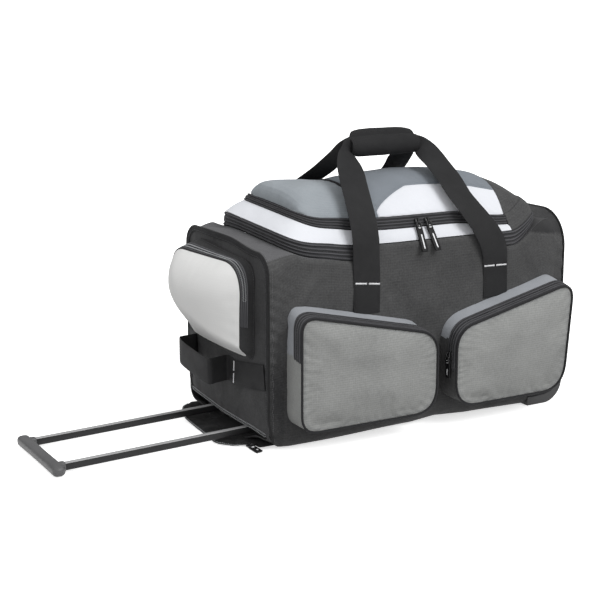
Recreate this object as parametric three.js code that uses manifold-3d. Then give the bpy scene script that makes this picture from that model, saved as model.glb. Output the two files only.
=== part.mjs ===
// Wheeled duffel bag: a hollow cloth bag with a zipped lid, two front pockets, an end pocket,
// webbing handles, a telescopic pull handle and two wheels.
// Millimetres, +Z up. +X runs from the pull handle to the wheels; -Y is the front, with two pockets.
// The origin is the middle of the base, on the floor.
import * as THREE from "three";
import { mergeVertices } from "three/addons/utils/BufferGeometryUtils.js";
import Module from "manifold-3d";

const wasm = await Module();
wasm.setup();

// Driving sizes
const CLOTH = 2;
const WEBBING = 2.4;
const SEAM = 0.6;
const PIPING = 2;
const ZIP_TAPE = 1.6;
const COIL_LIFT = 1.4;

const BODY = {
  left: -350,
  right: 341,
  halfDepth: 172,
  belly: 2,
  topLeft: 381,
  topRight: 399,
  roundLeft: 42,
  roundRight: 74,
  roundMiddle: 14,
  hemEnd: 34,
  hemMiddle: 46,
  hemCentre: 40,
  hemFlat: 60,
  hemRun: 300,
  bulgeLeft: 16,
  bulgeRight: 7,
  lipLeft: 35,
  lipRight: 24,
};

// Gathers of the front and back beside the ends: place along the bag, depth and half width of each fold.
const GATHERS = [
  { x: -328, depth: 3, half: 13 },
  { x: -300, depth: 2.4, half: 14 },
  { x: 318, depth: 2.4, half: 14 },
];

// Rings of the lid from its foot upwards: the ends and half depth of each ring, and its height
// half way along the bag and at the bag's ends.
const RING_POWER = 7;
const LID = {
  foot: { left: -296, right: 291, half: 169.5, middle: 351, end: 384 },
  band: { left: -294, right: 289, half: 166, middle: 372, end: 404 },
  zipLow: { left: -258, right: 284, half: 151, middle: 395, end: 424 },
  zipTop: { left: -250, right: 274, half: 141, middle: 418, end: 442 },
};
const LEVELS = [LID.foot, LID.band, LID.zipLow, LID.zipTop];
const CROWN = {
  top: 486,
  fallLong: 6,
  fallAcross: 2.1,
  inset: 2.8,
  cornerShare: 0.06,
  pipedSeam: -116,
  pipedBow: 6,
  wingSeam: 206,
  wingBow: 46,
};
const FRONT_ARC = { start: -94, turn: 82, reach: 84, hem: 8 };

// The two legs of a carry handle from the panel to the grip: depth of each station, x of the left and the
// right leg, and the height and the twist in degrees of the webbing on the front and on the slacker back.
const HANDLE = { width: 58, gripWidth: 27 };
const HANDLE_LEGS = [
  { depth: 174.2, left: -143, right: 160, front: { z: 190, turn: 0 }, back: { z: 60, turn: 0 } },
  { depth: 174.2, left: -143, right: 160, front: { z: 300, turn: 0 }, back: { z: 300, turn: 0 } },
  { depth: 176, left: -147, right: 150, front: { z: 345, turn: 0 }, back: { z: 345, turn: 0 } },
  { depth: 177, left: -150, right: 127, front: { z: 385, turn: 0 }, back: { z: 385, turn: 0 } },
  { depth: 166, left: -148, right: 110, front: { z: 420, turn: 4 }, back: { z: 418, turn: 0 } },
  { depth: 138, left: -140, right: 102, front: { z: 451, turn: 10 }, back: { z: 444, turn: 2 } },
  { depth: 94, left: -124, right: 97, front: { z: 482, turn: 22 }, back: { z: 469, turn: 7 } },
  { depth: 54, left: -109, right: 97, front: { z: 508, turn: 44 }, back: { z: 492, turn: 20 } },
  { depth: 27, left: -98, right: 96, front: { z: 526, turn: 72 }, back: { z: 515, turn: 60 } },
  { depth: 15.4, left: -90, right: 90, front: { z: 537, turn: 88 }, back: { z: 537, turn: 88 } },
  { depth: 15.4, left: -72, right: 72, front: { z: 538, turn: 90 }, back: { z: 538, turn: 90 } },
  { depth: 15.4, left: -30, right: 30, front: { z: 538, turn: 90 }, back: { z: 538, turn: 90 } },
];
const GRIP_WRAP = { halfLength: 80, halfDepth: 30, halfHeight: 28, wall: 4, middle: 538, taper: 2 };

// The front pockets: inner and outer ends of each, the outer end at its foot, the round of the outer corners
// and the heights at which the zip ends.
const POCKET = {
  depth: 55,
  bottom: 46,
  topInner: 201,
  topOuter: 268,
  roundInner: 36,
  bulge: 12,
};
const POCKET_ZIP = { inner: 118, outer: 208 };
const FRONT_POCKETS = [
  { name: "left_pocket", inner: -15, outer: -314, foot: -314, round: 34 },
  { name: "right_pocket", inner: 29, outer: 318, foot: 300, round: 40 },
];
const END_POCKET = {
  half: 130,
  bottom: 166,
  top: 359,
  roundBottom: 26,
  roundTop: 44,
  depthBottom: 8,
  depthTop: 40,
  deepFrom: 299,
  bulge: 42,
  zipStart: 232,
};

// The webbing grab handle on the left end: place across the end and stand-off from the panel. Its loop
// rises towards the back.
const GRAB = { width: 50, front: 126, back: 138, riseFrom: -60, riseTo: 100 };
const GRAB_STATIONS = [
  { y: -160, off: 0 },
  { y: -110, off: 0 },
  { y: -68, off: 0 },
  { y: -61, off: 14 },
  { y: -52, off: 34 },
  { y: -36, off: 44 },
  { y: 20, off: 47 },
  { y: 80, off: 45 },
  { y: 98, off: 36 },
  { y: 106, off: 14 },
  { y: 114, off: 0 },
  { y: 160, off: 0 },
];

// The open flap of the handle bay, lying on the floor: reach from the bag and lift of its free edge.
const FLOOR_GAP = 0.6;
const FLAP = { thick: 2 };
const FLAP_STATIONS = [
  { y: -112, reach: 24, lift: 1 },
  { y: -100, reach: 40, lift: 2 },
  { y: -60, reach: 57, lift: 1 },
  { y: 10, reach: 56, lift: 1 },
  { y: 76, reach: 46, lift: 2 },
  { y: 112, reach: 36, lift: 6 },
  { y: 150, reach: 20, lift: 16 },
];

// The pull handle slides along its own axis, which rises gently into the bag.
const TROLLEY = { mouth: -350, height: 21.5, tiltDeg: 1.55, rodSpacing: 157, wall: 1.3 };
const ROD = { width: 16, height: 10, round: 3.2, outside: 372, inside: 150 };
const SLEEVE = { width: 20, height: 13.6, round: 4.4, start: 24, end: 634 };
const GRIP = { length: 214, depth: 24, height: 20, round: 9, endRound: 6, lap: 2 };
const SOCKET = { width: 26, height: 16, depth: 16, round: 4, lap: 4 };
const BOARD = { thick: 3, start: 14, end: 632, halfDepth: 158 };
const KEEPER = { start: 594, end: 642, halfDepth: 135, wall: 4 };

const WHEEL = { radius: 31, width: 24, x: 310, y: 152, bore: 3.5, hubRadius: 14, hubDish: 3, shoulder: 5 };
const AXLE = { radius: 3, length: 36 };
const HOUSING = {
  left: 256,
  right: 344,
  inner: 131,
  outer: 171.6,
  top: 70,
  slopeFoot: 30,
  slopeTop: 283,
  corner: 46,
  roof: 4,
  wellHalf: 14,
  wellLeft: 275,
};

// Zip pulls: sizes of the slider and its tag, and the place and turn of each pull.
const PULL = {
  slider: 11,
  sliderThick: 5,
  tagWidth: 11,
  tagNeck: 10,
  tagLength: 44,
  tagThick: 3.4,
  lap: 4,
};
const LID_PULLS = [
  { name: "lid_pull_1", at: [-19, -148.95, 405.1], turn: [-0.57, 0.06, 0] },
  { name: "lid_pull_2", at: [4, -148.95, 405.1], turn: [-0.57, -0.06, 0] },
];
const FLAP_PULL = { name: "flap_pull", at: [-366, -121.3, 1], turn: [-Math.PI / 2, 0, 0.35] };
const POCKET_PULL = { height: 150, depthShare: 0.68 };

const FINISH = {
  charcoal: { color: 0x46474c, roughness: 0.92, metalness: 0 },
  ripstop: { color: 0x80838c, roughness: 0.85, metalness: 0 },
  white: { color: 0xeceff6, roughness: 0.8, metalness: 0 },
  pale: { color: 0xc9ccd3, roughness: 0.8, metalness: 0 },
  gusset: { color: 0xa6adbd, roughness: 0.85, metalness: 0 },
  black: { color: 0x1c1c1f, roughness: 0.85, metalness: 0 },
  webbing: { color: 0x37383c, roughness: 0.9, metalness: 0 },
  tube: { color: 0x4c4d52, roughness: 0.3, metalness: 0.8 },
  moulded: { color: 0x6f7177, roughness: 0.55, metalness: 0 },
  chassis: { color: 0x2a2b2e, roughness: 0.6, metalness: 0 },
  tyre: { color: 0x232326, roughness: 0.8, metalness: 0 },
  steel: { color: 0xb4b6ba, roughness: 0.35, metalness: 1 },
};

// Small helpers
const { abs, cos, max, min, sin, sqrt, PI, SQRT1_2 } = Math;
const { lerp, smoothstep, degToRad } = THREE.MathUtils;
const endX = (side) => (side < 0 ? BODY.left : BODY.right);
const vec = (x, y, z) => new THREE.Vector3(x, y, z);
const shares = (count) => Array.from({ length: count + 1 }, (_, index) => index / count);
const bag = new THREE.Group();

function add(name, geometry, finish, parent = bag) {
  const mesh = new THREE.Mesh(geometry, new THREE.MeshStandardMaterial(FINISH[finish]));
  mesh.name = name;
  parent.add(mesh);
  return mesh;
}

function signedVolume(points, faces) {
  const cross = vec(0, 0, 0);
  const sixfold = ([a, b, c]) => cross.crossVectors(points[b], points[c]).dot(points[a]);
  return faces.reduce((sum, face) => sum + sixfold(face), 0) / 6;
}

// A closed body from shared points and triangles, turned so that its faces point out.
function closedBody(points, faces) {
  const outward = signedVolume(points, faces) > 0 ? faces : faces.map(([a, b, c]) => [a, c, b]);
  const geometry = new THREE.BufferGeometry();
  const places = points.flatMap((p) => p.toArray());
  geometry.setAttribute("position", new THREE.Float32BufferAttribute(places, 3));
  geometry.setIndex(outward.flat());
  return geometry;
}

// Outward directions of a grid of skin points; core is a point well inside the skin.
function skinNormals(grid, core, closed) {
  const rows = grid.length;
  const columns = grid[0].length;
  return grid.map((row, i) =>
    row.map((point, j) => {
      const before = grid[closed ? (i + rows - 1) % rows : max(i - 1, 0)][j];
      const after = grid[closed ? (i + 1) % rows : min(i + 1, rows - 1)][j];
      const along = after.clone().sub(before);
      const across = row[min(j + 1, columns - 1)].clone().sub(row[max(j - 1, 0)]);
      const normal = along.cross(across).normalize();
      return normal.dot(point.clone().sub(core)) < 0 ? normal.negate() : normal;
    })
  );
}

// A cloth wall: a grid of points on the outer skin, thickened inwards.
function clothWall(grid, core, { wall = CLOTH, closed = false, normals = null } = {}) {
  const rows = grid.length;
  const columns = grid[0].length;
  const outward = normals ?? skinNormals(grid, core, closed);
  const outer = grid.flat();
  const inner = outer.map((point, k) => {
    const normal = outward[Math.floor(k / columns)][k % columns];
    return point.clone().addScaledVector(normal, -wall);
  });
  const at = (i, j) => (i % rows) * columns + j;
  const under = (i, j) => at(i, j) + outer.length;
  const faces = [];
  const quad = (a, b, c, d) => faces.push([a, b, c], [a, c, d]);
  const spans = closed ? rows : rows - 1;
  for (let i = 0; i < spans; i++) {
    for (let j = 0; j < columns - 1; j++) {
      quad(at(i, j), at(i + 1, j), at(i + 1, j + 1), at(i, j + 1));
      quad(under(i, j), under(i, j + 1), under(i + 1, j + 1), under(i + 1, j));
    }
    quad(at(i, 0), under(i, 0), under(i + 1, 0), at(i + 1, 0));
    quad(at(i, columns - 1), at(i + 1, columns - 1), under(i + 1, columns - 1), under(i, columns - 1));
  }
  if (!closed) {
    for (let j = 0; j < columns - 1; j++) {
      quad(at(0, j), at(0, j + 1), under(0, j + 1), under(0, j));
      quad(at(rows - 1, j), under(rows - 1, j), under(rows - 1, j + 1), at(rows - 1, j + 1));
    }
  }
  return closedBody([...outer, ...inner], faces);
}

// A dished panel: rings of a closed loop shrunk to its middle; place gives a skin point from
// flat coordinates, the height and the depth below the skin.
function dishedPanel(loop, rings, place, wall = CLOTH) {
  const middle = loop.reduce((sum, p) => sum.add(p), new THREE.Vector2()).divideScalar(loop.length);
  const points = [];
  const layer = (depth) => {
    const first = points.length;
    rings.forEach((share) => {
      points.push(...loop.map((p) => place(middle.clone().lerp(p, share), share, depth)));
    });
    points.push(place(middle.clone(), 0, depth));
    return first;
  };
  const top = layer(0);
  const bottom = layer(wall);
  const count = loop.length;
  const faces = [];
  const quad = (a, b, c, d) => faces.push([a, b, c], [a, c, d]);
  for (let i = 0; i < count; i++) {
    const next = (i + 1) % count;
    for (let ring = 0; ring < rings.length - 1; ring++) {
      const near = ring * count;
      const far = near + count;
      quad(top + near + i, top + near + next, top + far + next, top + far + i);
      quad(bottom + near + i, bottom + far + i, bottom + far + next, bottom + near + next);
    }
    const last = (rings.length - 1) * count;
    faces.push([top + last + i, top + last + next, top + last + count]);
    faces.push([bottom + last + i, bottom + last + count, bottom + last + next]);
    quad(top + i, bottom + i, bottom + next, top + next);
  }
  return closedBody(points, faces);
}

// A round cord along points, with flat ends.
function cordAlong(points, radius, spans) {
  const ring = new THREE.Shape().absarc(0, 0, radius, 0, 2 * PI);
  const path = new THREE.CatmullRomCurve3(points);
  return new THREE.ExtrudeGeometry(ring, { steps: spans, curveSegments: 3, extrudePath: path });
}

function solidOf(geometry) {
  const bare = geometry.clone();
  bare.deleteAttribute("normal");
  bare.deleteAttribute("uv");
  const merged = mergeVertices(bare, 1e-3);
  const vertProperties = merged.attributes.position.array;
  const triVerts = Uint32Array.from(merged.index.array);
  return new wasm.Manifold(new wasm.Mesh({ numProp: 3, vertProperties, triVerts }));
}

function geometryOf(solid) {
  const { vertProperties, triVerts } = solid.getMesh();
  const geometry = new THREE.BufferGeometry();
  geometry.setAttribute("position", new THREE.Float32BufferAttribute(vertProperties, 3));
  geometry.setIndex(Array.from(triVerts));
  return geometry;
}

const joined = (...shapes) => geometryOf(shapes.map(solidOf).reduce((sum, solid) => sum.add(solid)));
function cut(shape, ...tools) {
  const rest = tools.map(solidOf).reduce((solid, tool) => solid.subtract(tool), solidOf(shape));
  return geometryOf(rest);
}

function block(x0, x1, y0, y1, z0, z1) {
  const box = new THREE.BoxGeometry(x1 - x0, y1 - y0, z1 - z0);
  return box.translate((x0 + x1) / 2, (y0 + y1) / 2, (z0 + z1) / 2);
}

// A flat shape in the XZ plane, extruded along Y from y0 to y1.
function slabAcross(shape, y0, y1, curveSegments = 6) {
  const slab = new THREE.ExtrudeGeometry(shape, { depth: y1 - y0, bevelEnabled: false, curveSegments });
  return slab.rotateX(PI / 2).translate(0, y1, 0);
}

// A closed loop round a polygon with rounded corners; spread adds points along the straight runs.
function roundedLoop(corners, arcSteps, spread) {
  const loop = [];
  const count = corners.length;
  const ends = corners.map((corner, i) => {
    const point = new THREE.Vector2(corner.a, corner.z);
    const toward = (other) => {
      const way = new THREE.Vector2(other.a, other.z).sub(point);
      return point.clone().addScaledVector(way.normalize(), corner.round);
    };
    const enter = toward(corners[(i + count - 1) % count]);
    const leave = toward(corners[(i + 1) % count]);
    return { point, enter, leave };
  });
  ends.forEach(({ point, enter, leave }, i) => {
    const bend = new THREE.QuadraticBezierCurve(enter, point, leave);
    loop.push(...bend.getPoints(arcSteps));
    const next = ends[(i + 1) % count].enter;
    shares(spread).slice(1, -1).forEach((t) => loop.push(leave.clone().lerp(next, t)));
  });
  return loop;
}

// A loop moved outwards by a distance, seen in its own plane.
function widened(loop, distance) {
  const middle = loop.reduce((sum, p) => sum.add(p), new THREE.Vector2()).divideScalar(loop.length);
  const count = loop.length;
  return loop.map((p, i) => {
    const way = loop[(i + 1) % count].clone().sub(loop[(i + count - 1) % count]).normalize();
    const out = new THREE.Vector2(way.y, -way.x);
    const side = out.dot(p.clone().sub(middle)) < 0 ? -1 : 1;
    return p.clone().addScaledVector(out, side * distance);
  });
}

// Form of the body
const CORE = vec(0, 0, 200);
const halfDepthAt = (x) => BODY.halfDepth + BODY.belly * cos((PI * x) / (BODY.right - BODY.left));
const topAt = (x) => lerp(BODY.topLeft, BODY.topRight, smoothstep(x, BODY.left, BODY.right));
const endOf = (x) => (x < 0 ? -BODY.left : BODY.right);
function hemAt(x) {
  return lerp(BODY.hemMiddle, BODY.hemEnd, smoothstep(abs(x - BODY.hemCentre), BODY.hemFlat, BODY.hemRun));
}

// How far x lies from the middle of a ring, as a share of its half length, and the ring's height there.
function lengthShare({ left, right }, x) {
  return min(1, abs(2 * x - left - right) / (right - left));
}
function levelHeight(level, x) {
  return lerp(level.middle, level.end, lengthShare(level, x) ** 4);
}

function roundAt(x) {
  const end = x < 0 ? BODY.roundLeft : BODY.roundRight;
  const edge = x < 0 ? -LID.foot.left : LID.foot.right;
  return lerp(BODY.roundMiddle, end, smoothstep(abs(x), edge - 20, endOf(x)));
}

// Height of the body's top edge: the zip's foot beside the handles, the white band between them.
const strapAnchor = (side) => HANDLE_LEGS[1][side];
function rimAt(x) {
  if (x > strapAnchor("left") && x < strapAnchor("right")) {
    return levelHeight(LID.band, x) - SEAM;
  }
  const edge = x < 0 ? -LID.foot.left : LID.foot.right;
  const corner = topAt(x) - (1 - SQRT1_2) * roundAt(x);
  const share = smoothstep(abs(x), edge - 10, endOf(x));
  return lerp(levelHeight(LID.foot, x), corner, share) - SEAM;
}

// Depth of the gathers at a place on the wall; they run out above the hem and below the rim.
function gatherAt(x, share) {
  const fold = ({ x: at, depth, half }) => depth * max(0, 1 - abs(x - at) / half);
  return GATHERS.reduce((sum, gather) => sum + fold(gather), 0) * sin(PI * share);
}

// One section of the body from the front rim down, under the base and up to the back rim.
function bodySection(x) {
  const rim = rimAt(x);
  const depth = halfDepthAt(x);
  const round = roundAt(x);
  const hem = hemAt(x);
  const shoulder = rim - round * SQRT1_2;
  const heights = [
    ...shares(2).map((t) => lerp(rim, shoulder, t)),
    ...shares(4).slice(1).map((t) => lerp(shoulder, hem, t)),
  ];
  const wall = heights.map((z) => {
    const t = (rim - z) / (rim - hem);
    const inset = round - sqrt(round ** 2 - max(0, z - shoulder) ** 2);
    return { y: depth - inset - gatherAt(x, t), z };
  });
  const under = shares(3).slice(1).map((t) => {
    const turn = (t * PI) / 2;
    return { y: depth - hem + hem * cos(turn), z: hem - hem * sin(turn) };
  });
  const front = [...wall, ...under];
  const back = [...front].reverse();
  return [...front.map((p) => vec(x, -p.y, p.z)), ...back.map((p) => vec(x, p.y, p.z))];
}

// Room for a wheel housing, with a gap round it and open to the outside.
const clear = 20;
const flankSpan = (side, y0, y1) => [side * y0, side * y1].sort((a, b) => a - b);
function wheelWell(side, gap) {
  const span = flankSpan(side, HOUSING.inner - gap, HOUSING.outer + clear);
  return block(HOUSING.left - gap, HOUSING.right + clear, ...span, -clear, HOUSING.top + gap);
}

function bodyPanel() {
  const steps = ["left", "right"].flatMap((side) => [strapAnchor(side) - 0.5, strapAnchor(side) + 0.5]);
  const folds = GATHERS.flatMap(({ x, half }) => [x - half, x, x + half]);
  const plainFrom = GATHERS[1].x + 3 * GATHERS[1].half;
  const plainTo = GATHERS[2].x - 3 * GATHERS[2].half;
  const even = shares(5).map((t) => lerp(plainFrom, plainTo, t));
  const stations = [BODY.left, ...folds, ...even, ...steps, BODY.right].sort((a, b) => a - b);
  const trough = clothWall(stations.map(bodySection), CORE);
  return cut(trough, wheelWell(-1, SEAM), wheelWell(1, SEAM));
}
add("body_panel", bodyPanel(), "charcoal");

// Height of the top edge of an end, rounded at its corners.
function endTop(side, y) {
  const x = endX(side);
  const round = roundAt(x);
  const past = abs(y) - (halfDepthAt(x) - round);
  return topAt(x) - (past > 0 ? round - sqrt(round ** 2 - min(past, round) ** 2) : 0);
}

// Lid rings: p runs once round the lid, 0 to 1 along the front to the left, 1 to 2 round the left end,
// 2 to 3 along the back and 3 to 4 round the right end.
function ringPlan(level, p) {
  const turn = ((p % 4) + 4) % 4;
  const side = Math.floor(turn);
  const share = 2 * (turn - side) - 1;
  const [sx, sy] = [[-share, -1], [-1, share], [share, 1], [1, -share]][side];
  const fit = (abs(sx) ** RING_POWER + abs(sy) ** RING_POWER) ** (-1 / RING_POWER);
  const middle = (level.left + level.right) / 2;
  const half = (level.right - level.left) / 2;
  return { x: middle + half * sx * fit, y: level.half * sy * fit };
}

function ringPoint(level, p) {
  const { x, y } = ringPlan(level, p);
  return vec(x, y, levelHeight(level, x));
}

// The turn p at which a ring passes x, on the front or on the back.
function ringTurn(level, x, back) {
  const share = (x - (level.left + level.right) / 2) / ((level.right - level.left) / 2);
  const power = abs(share) ** RING_POWER;
  const sx = Math.sign(share) * (power / (1 - power)) ** (1 / RING_POWER);
  return back ? 2 + (1 + sx) / 2 : (1 - sx) / 2;
}

// A point of the lid's sides: v is 0 at the foot ring and 3 at the top of the upper zip.
function lidSide(turnOf, v) {
  const low = max(0, min(2, Math.floor(v)));
  const point = (k) => ringPoint(LEVELS[k], turnOf(LEVELS[k]));
  return point(low).lerp(point(low + 1), v - low);
}

// A band of the lid between two turns, each given by side and x; profile lists height share and lift.
function lidBand(start, end, low, high, profile, rows, wall) {
  const gap = 0.036;
  const grid = [];
  const normals = [];
  const turnAt = (level, t) => {
    const from = ringTurn(level, start.x, start.back);
    const to = ringTurn(level, end.x, end.back) + (end.back === start.back || end.back ? 0 : 4);
    return lerp(from, to, t);
  };
  shares(rows).forEach((t) => {
    const place = (v, shift = 0) => lidSide((level) => turnAt(level, t) + shift, v);
    const row = [];
    const rowNormals = [];
    profile.forEach(([share, lift]) => {
      const v = lerp(low + gap, high - gap, share);
      const up = place(v + 0.5).sub(place(v - 0.5));
      const along = place(v, 0.01).sub(place(v, -0.01));
      const normal = along.cross(up).normalize();
      const point = place(v);
      const out = normal.dot(point.clone().sub(vec(0, 0, 300))) < 0 ? normal.negate() : normal;
      row.push(point.addScaledVector(out, lift));
      rowNormals.push(out);
    });
    grid.push(row);
    normals.push(rowNormals);
  });
  return clothWall(grid, CORE, { wall, normals });
}

const PLAIN_BAND = [[0, 0], [0.5, 0.8], [1, 0]];
const ZIP_BAND = [[0, 0], [0.36, 0], [0.5, COIL_LIFT], [0.64, 0], [1, 0]];
const wingGap = SEAM / 2;
const frontSeam = { x: CROWN.wingSeam - wingGap, back: false };
const backSeam = { x: CROWN.wingSeam - wingGap, back: true };
const leftStrap = { x: strapAnchor("left") - 1, back: false };
const rightStrap = { x: strapAnchor("right") + 1, back: false };
add("lower_zip_left", lidBand(leftStrap, { ...leftStrap, back: true }, 0, 1, ZIP_BAND, 12), "black");
add("lower_zip_right", lidBand({ ...rightStrap, back: true }, rightStrap, 0, 1, ZIP_BAND, 12), "black");
add("lid_band", lidBand(frontSeam, backSeam, 1, 2, PLAIN_BAND, 18), "white");
add("lid_zip", lidBand(frontSeam, backSeam, 2, 3, ZIP_BAND, 18), "black");
const wingFront = { x: CROWN.wingSeam + wingGap, back: false };
const wingBack = { ...wingFront, back: true };
const FLAT_BAND = [[0, 0], [0.5, 0], [1, 0]];
add("wing_side", lidBand(wingBack, wingFront, 1, 3, FLAT_BAND, 16), "charcoal");

// The crown is a low dome inside the top of the upper zip; its panels stop just short of the zip.
const CROWN_RIM = {
  left: LID.zipTop.left + CROWN.inset,
  right: LID.zipTop.right - CROWN.inset,
  half: LID.zipTop.half - CROWN.inset,
};
function edgeOf(level, x) {
  return level.half * (1 - lengthShare(level, x) ** RING_POWER) ** (1 / RING_POWER);
}
const crownEdge = (x) => edgeOf(CROWN_RIM, x);
function crownHeight(x, y) {
  const base = levelHeight(LID.zipTop, x);
  const along = 1 - lengthShare(LID.zipTop, x) ** CROWN.fallLong;
  const across = 1 - min(1, abs(y) / max(1, edgeOf(LID.zipTop, x))) ** CROWN.fallAcross;
  return base + (CROWN.top - base) * along * across;
}

// A crown panel between four edges in plan; each edge gives a point for a share from 0 to 1.
function crownPanel(left, right, front, back, rows, columns) {
  const gap = SEAM / 2;
  const reach = left(0.5).distanceTo(right(0.5));
  const depth = front(0.5).distanceTo(back(0.5));
  const corners = [left(0), right(0), left(1), right(1)];
  const plan = (s, t) => {
    const blend = left(t).lerp(right(t), s).add(front(s).lerp(back(s), t));
    const near = corners[0].clone().lerp(corners[1], s);
    const far = corners[2].clone().lerp(corners[3], s);
    return blend.sub(near.lerp(far, t));
  };
  const inset = (share, size) => lerp(gap / size, 1 - gap / size, share);
  const grid = shares(rows).map((s) =>
    shares(columns).map((t) => {
      const p = plan(inset(s, reach), inset(t, depth));
      return vec(p.x, p.y, crownHeight(p.x, p.y));
    })
  );
  return clothWall(grid, CORE);
}

const planOf = ({ x, y }) => new THREE.Vector2(x, y);
const ringRun = (from, to) => (t) => planOf(ringPlan(CROWN_RIM, lerp(from, to, t)));
const frontTurn = (x) => ringTurn(CROWN_RIM, x, false);
const backTurn = (x) => ringTurn(CROWN_RIM, x, true);
const { cornerShare } = CROWN;

// A seam across the crown that bows along the bag by bow at the middle, from share t0 to t1 of its width.
const crownSeam = (x, bow, t0 = 0, t1 = 1) => (t) => {
  const across = 2 * lerp(t0, t1, t) - 1;
  const at = x + bow * (1 - abs(across) ** 1.6);
  return new THREE.Vector2(at, across * crownEdge(x));
};
const arcStart = FRONT_ARC.start;
const arcEnd = 0.5 - FRONT_ARC.reach / (2 * crownEdge(CROWN.wingSeam));

// The upper edge of the pale panel at the front of the crown: a quarter turn and then straight to the wing.
function frontArc(t) {
  const last = crownSeam(CROWN.wingSeam, CROWN.wingBow)(arcEnd);
  const x = lerp(arcStart, last.x, t);
  const turned = min(1, (x - arcStart) / FRONT_ARC.turn);
  const foot = -crownEdge(x) + FRONT_ARC.hem;
  return new THREE.Vector2(x, lerp(foot, last.y, sqrt(1 - (1 - turned) ** 2)));
}

const pipedSeam = crownSeam(CROWN.pipedSeam, -CROWN.pipedBow);
const wingSeam = crownSeam(CROWN.wingSeam, CROWN.wingBow);
const turnLeft = ringRun(1 + cornerShare, 2 - cornerShare);
const turnRight = ringRun(4 - cornerShare, 3 + cornerShare);
add(
  "crown_left",
  crownPanel(
    turnLeft,
    pipedSeam,
    ringRun(1 + cornerShare, frontTurn(CROWN.pipedSeam)),
    ringRun(2 - cornerShare, backTurn(CROWN.pipedSeam)),
    6,
    8
  ),
  "ripstop"
);
add(
  "wing_top",
  crownPanel(
    wingSeam,
    turnRight,
    ringRun(frontTurn(CROWN.wingSeam), -cornerShare),
    ringRun(backTurn(CROWN.wingSeam), 3 + cornerShare),
    4,
    8
  ),
  "charcoal"
);
const arcFoot = (t) => {
  const x = lerp(arcStart, CROWN.wingSeam, t);
  return new THREE.Vector2(x, -crownEdge(x));
};
add(
  "crown_front",
  crownPanel(
    (t) => arcFoot(0).lerp(frontArc(0), t),
    crownSeam(CROWN.wingSeam, CROWN.wingBow, 0, arcEnd),
    arcFoot,
    (t) => frontArc(t).setY(frontArc(t).y - CLOTH - SEAM),
    10,
    3
  ),
  "white"
);
// Front edge of the grey middle panel: along the upper zip, then over the pale panel.
const runIn = (arcStart - CROWN.pipedSeam) / (CROWN.wingSeam - CROWN.pipedSeam);
function middleFront(t) {
  if (t < runIn) {
    const x = lerp(CROWN.pipedSeam, arcStart, t / runIn);
    return new THREE.Vector2(x, lerp(-crownEdge(x), -crownEdge(x) + FRONT_ARC.hem, t / runIn));
  }
  return frontArc((t - runIn) / (1 - runIn));
}
add(
  "crown_middle",
  crownPanel(
    pipedSeam,
    crownSeam(CROWN.wingSeam, CROWN.wingBow, arcEnd, 1),
    middleFront,
    ringRun(backTurn(CROWN.pipedSeam), backTurn(CROWN.wingSeam)),
    10,
    7
  ),
  "ripstop"
);

// Piping along the seam between the two grey crown panels.
function crownPiping() {
  const points = shares(12).map((t) => {
    const p = pipedSeam(lerp(0.03, 0.97, t));
    return vec(p.x, p.y, crownHeight(p.x, p.y) + PIPING + SEAM);
  });
  return cordAlong(points, PIPING, 12);
}
add("crown_piping", crownPiping(), "black");

// Top shelves between the lid and the end panels, and the rim of the body at their sides. A shelf runs
// along the front, round the end and along the back; quarter is the share of it on each flank.
const SHELF = { lap: 36, quarter: 0.25 };
function topShelf(side) {
  const level = LID.foot;
  const { quarter } = SHELF;
  const start = (side < 0 ? level.left : level.right) - side * SHELF.lap;
  const x = endX(side) - side * (CLOTH + SEAM);
  const insetY = CLOTH + 3 * SEAM;
  const front = ringTurn(level, start, false);
  const back = ringTurn(level, start, true);
  const [from, corner, past, to] = side < 0 ? [front, 1, 2, back] : [front + 4, 4, 3, back];
  const cornerDepth = halfDepthAt(x) - (1 - SQRT1_2) * roundAt(x) - insetY;
  const rimPoint = (share, flank) => {
    const at = lerp(start, x, share);
    const depth = halfDepthAt(at) - (1 - SQRT1_2) * roundAt(at) - insetY;
    return vec(at, flank * depth, lerp(rimAt(at), endTop(side, cornerDepth), share ** 2));
  };
  const endShare = (t) => (t - quarter) / (1 - 2 * quarter);
  const outerAt = (t) => {
    if (t < quarter) {
      return rimPoint(t / quarter, -1);
    }
    if (t > 1 - quarter) {
      return rimPoint((1 - t) / quarter, 1);
    }
    const y = lerp(-cornerDepth, cornerDepth, endShare(t));
    return vec(x, y, endTop(side, y));
  };
  const turnAt = (t) => {
    if (t < quarter) {
      return lerp(from, corner, t / quarter);
    }
    return t > 1 - quarter ? lerp(to, past, (1 - t) / quarter) : lerp(corner, past, endShare(t));
  };
  const innerAt = (t) => {
    const p = ringPlan(level, turnAt(t));
    return vec(p.x + side * SEAM, p.y + Math.sign(p.y) * SEAM, levelHeight(level, p.x));
  };
  const grid = shares(16).map((t) => shares(2).map((s) => innerAt(t).lerp(outerAt(t), s)));
  return clothWall(grid, CORE);
}
add("top_shelf_left", topShelf(-1), "charcoal");
add("top_shelf_right", topShelf(1), "charcoal");

// End panels bulge outwards; the left one stops at the mouth of the handle bay.
function endPanelX(side, y, z) {
  const power = 2.4;
  const rise = 1 - abs(y / BODY.halfDepth) ** power;
  const level = 1 - abs((2 * z - BODY.topLeft) / BODY.topLeft) ** power;
  const bulge = side < 0 ? BODY.bulgeLeft : BODY.bulgeRight;
  return endX(side) + side * bulge * max(0, rise) * max(0, level);
}

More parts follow.
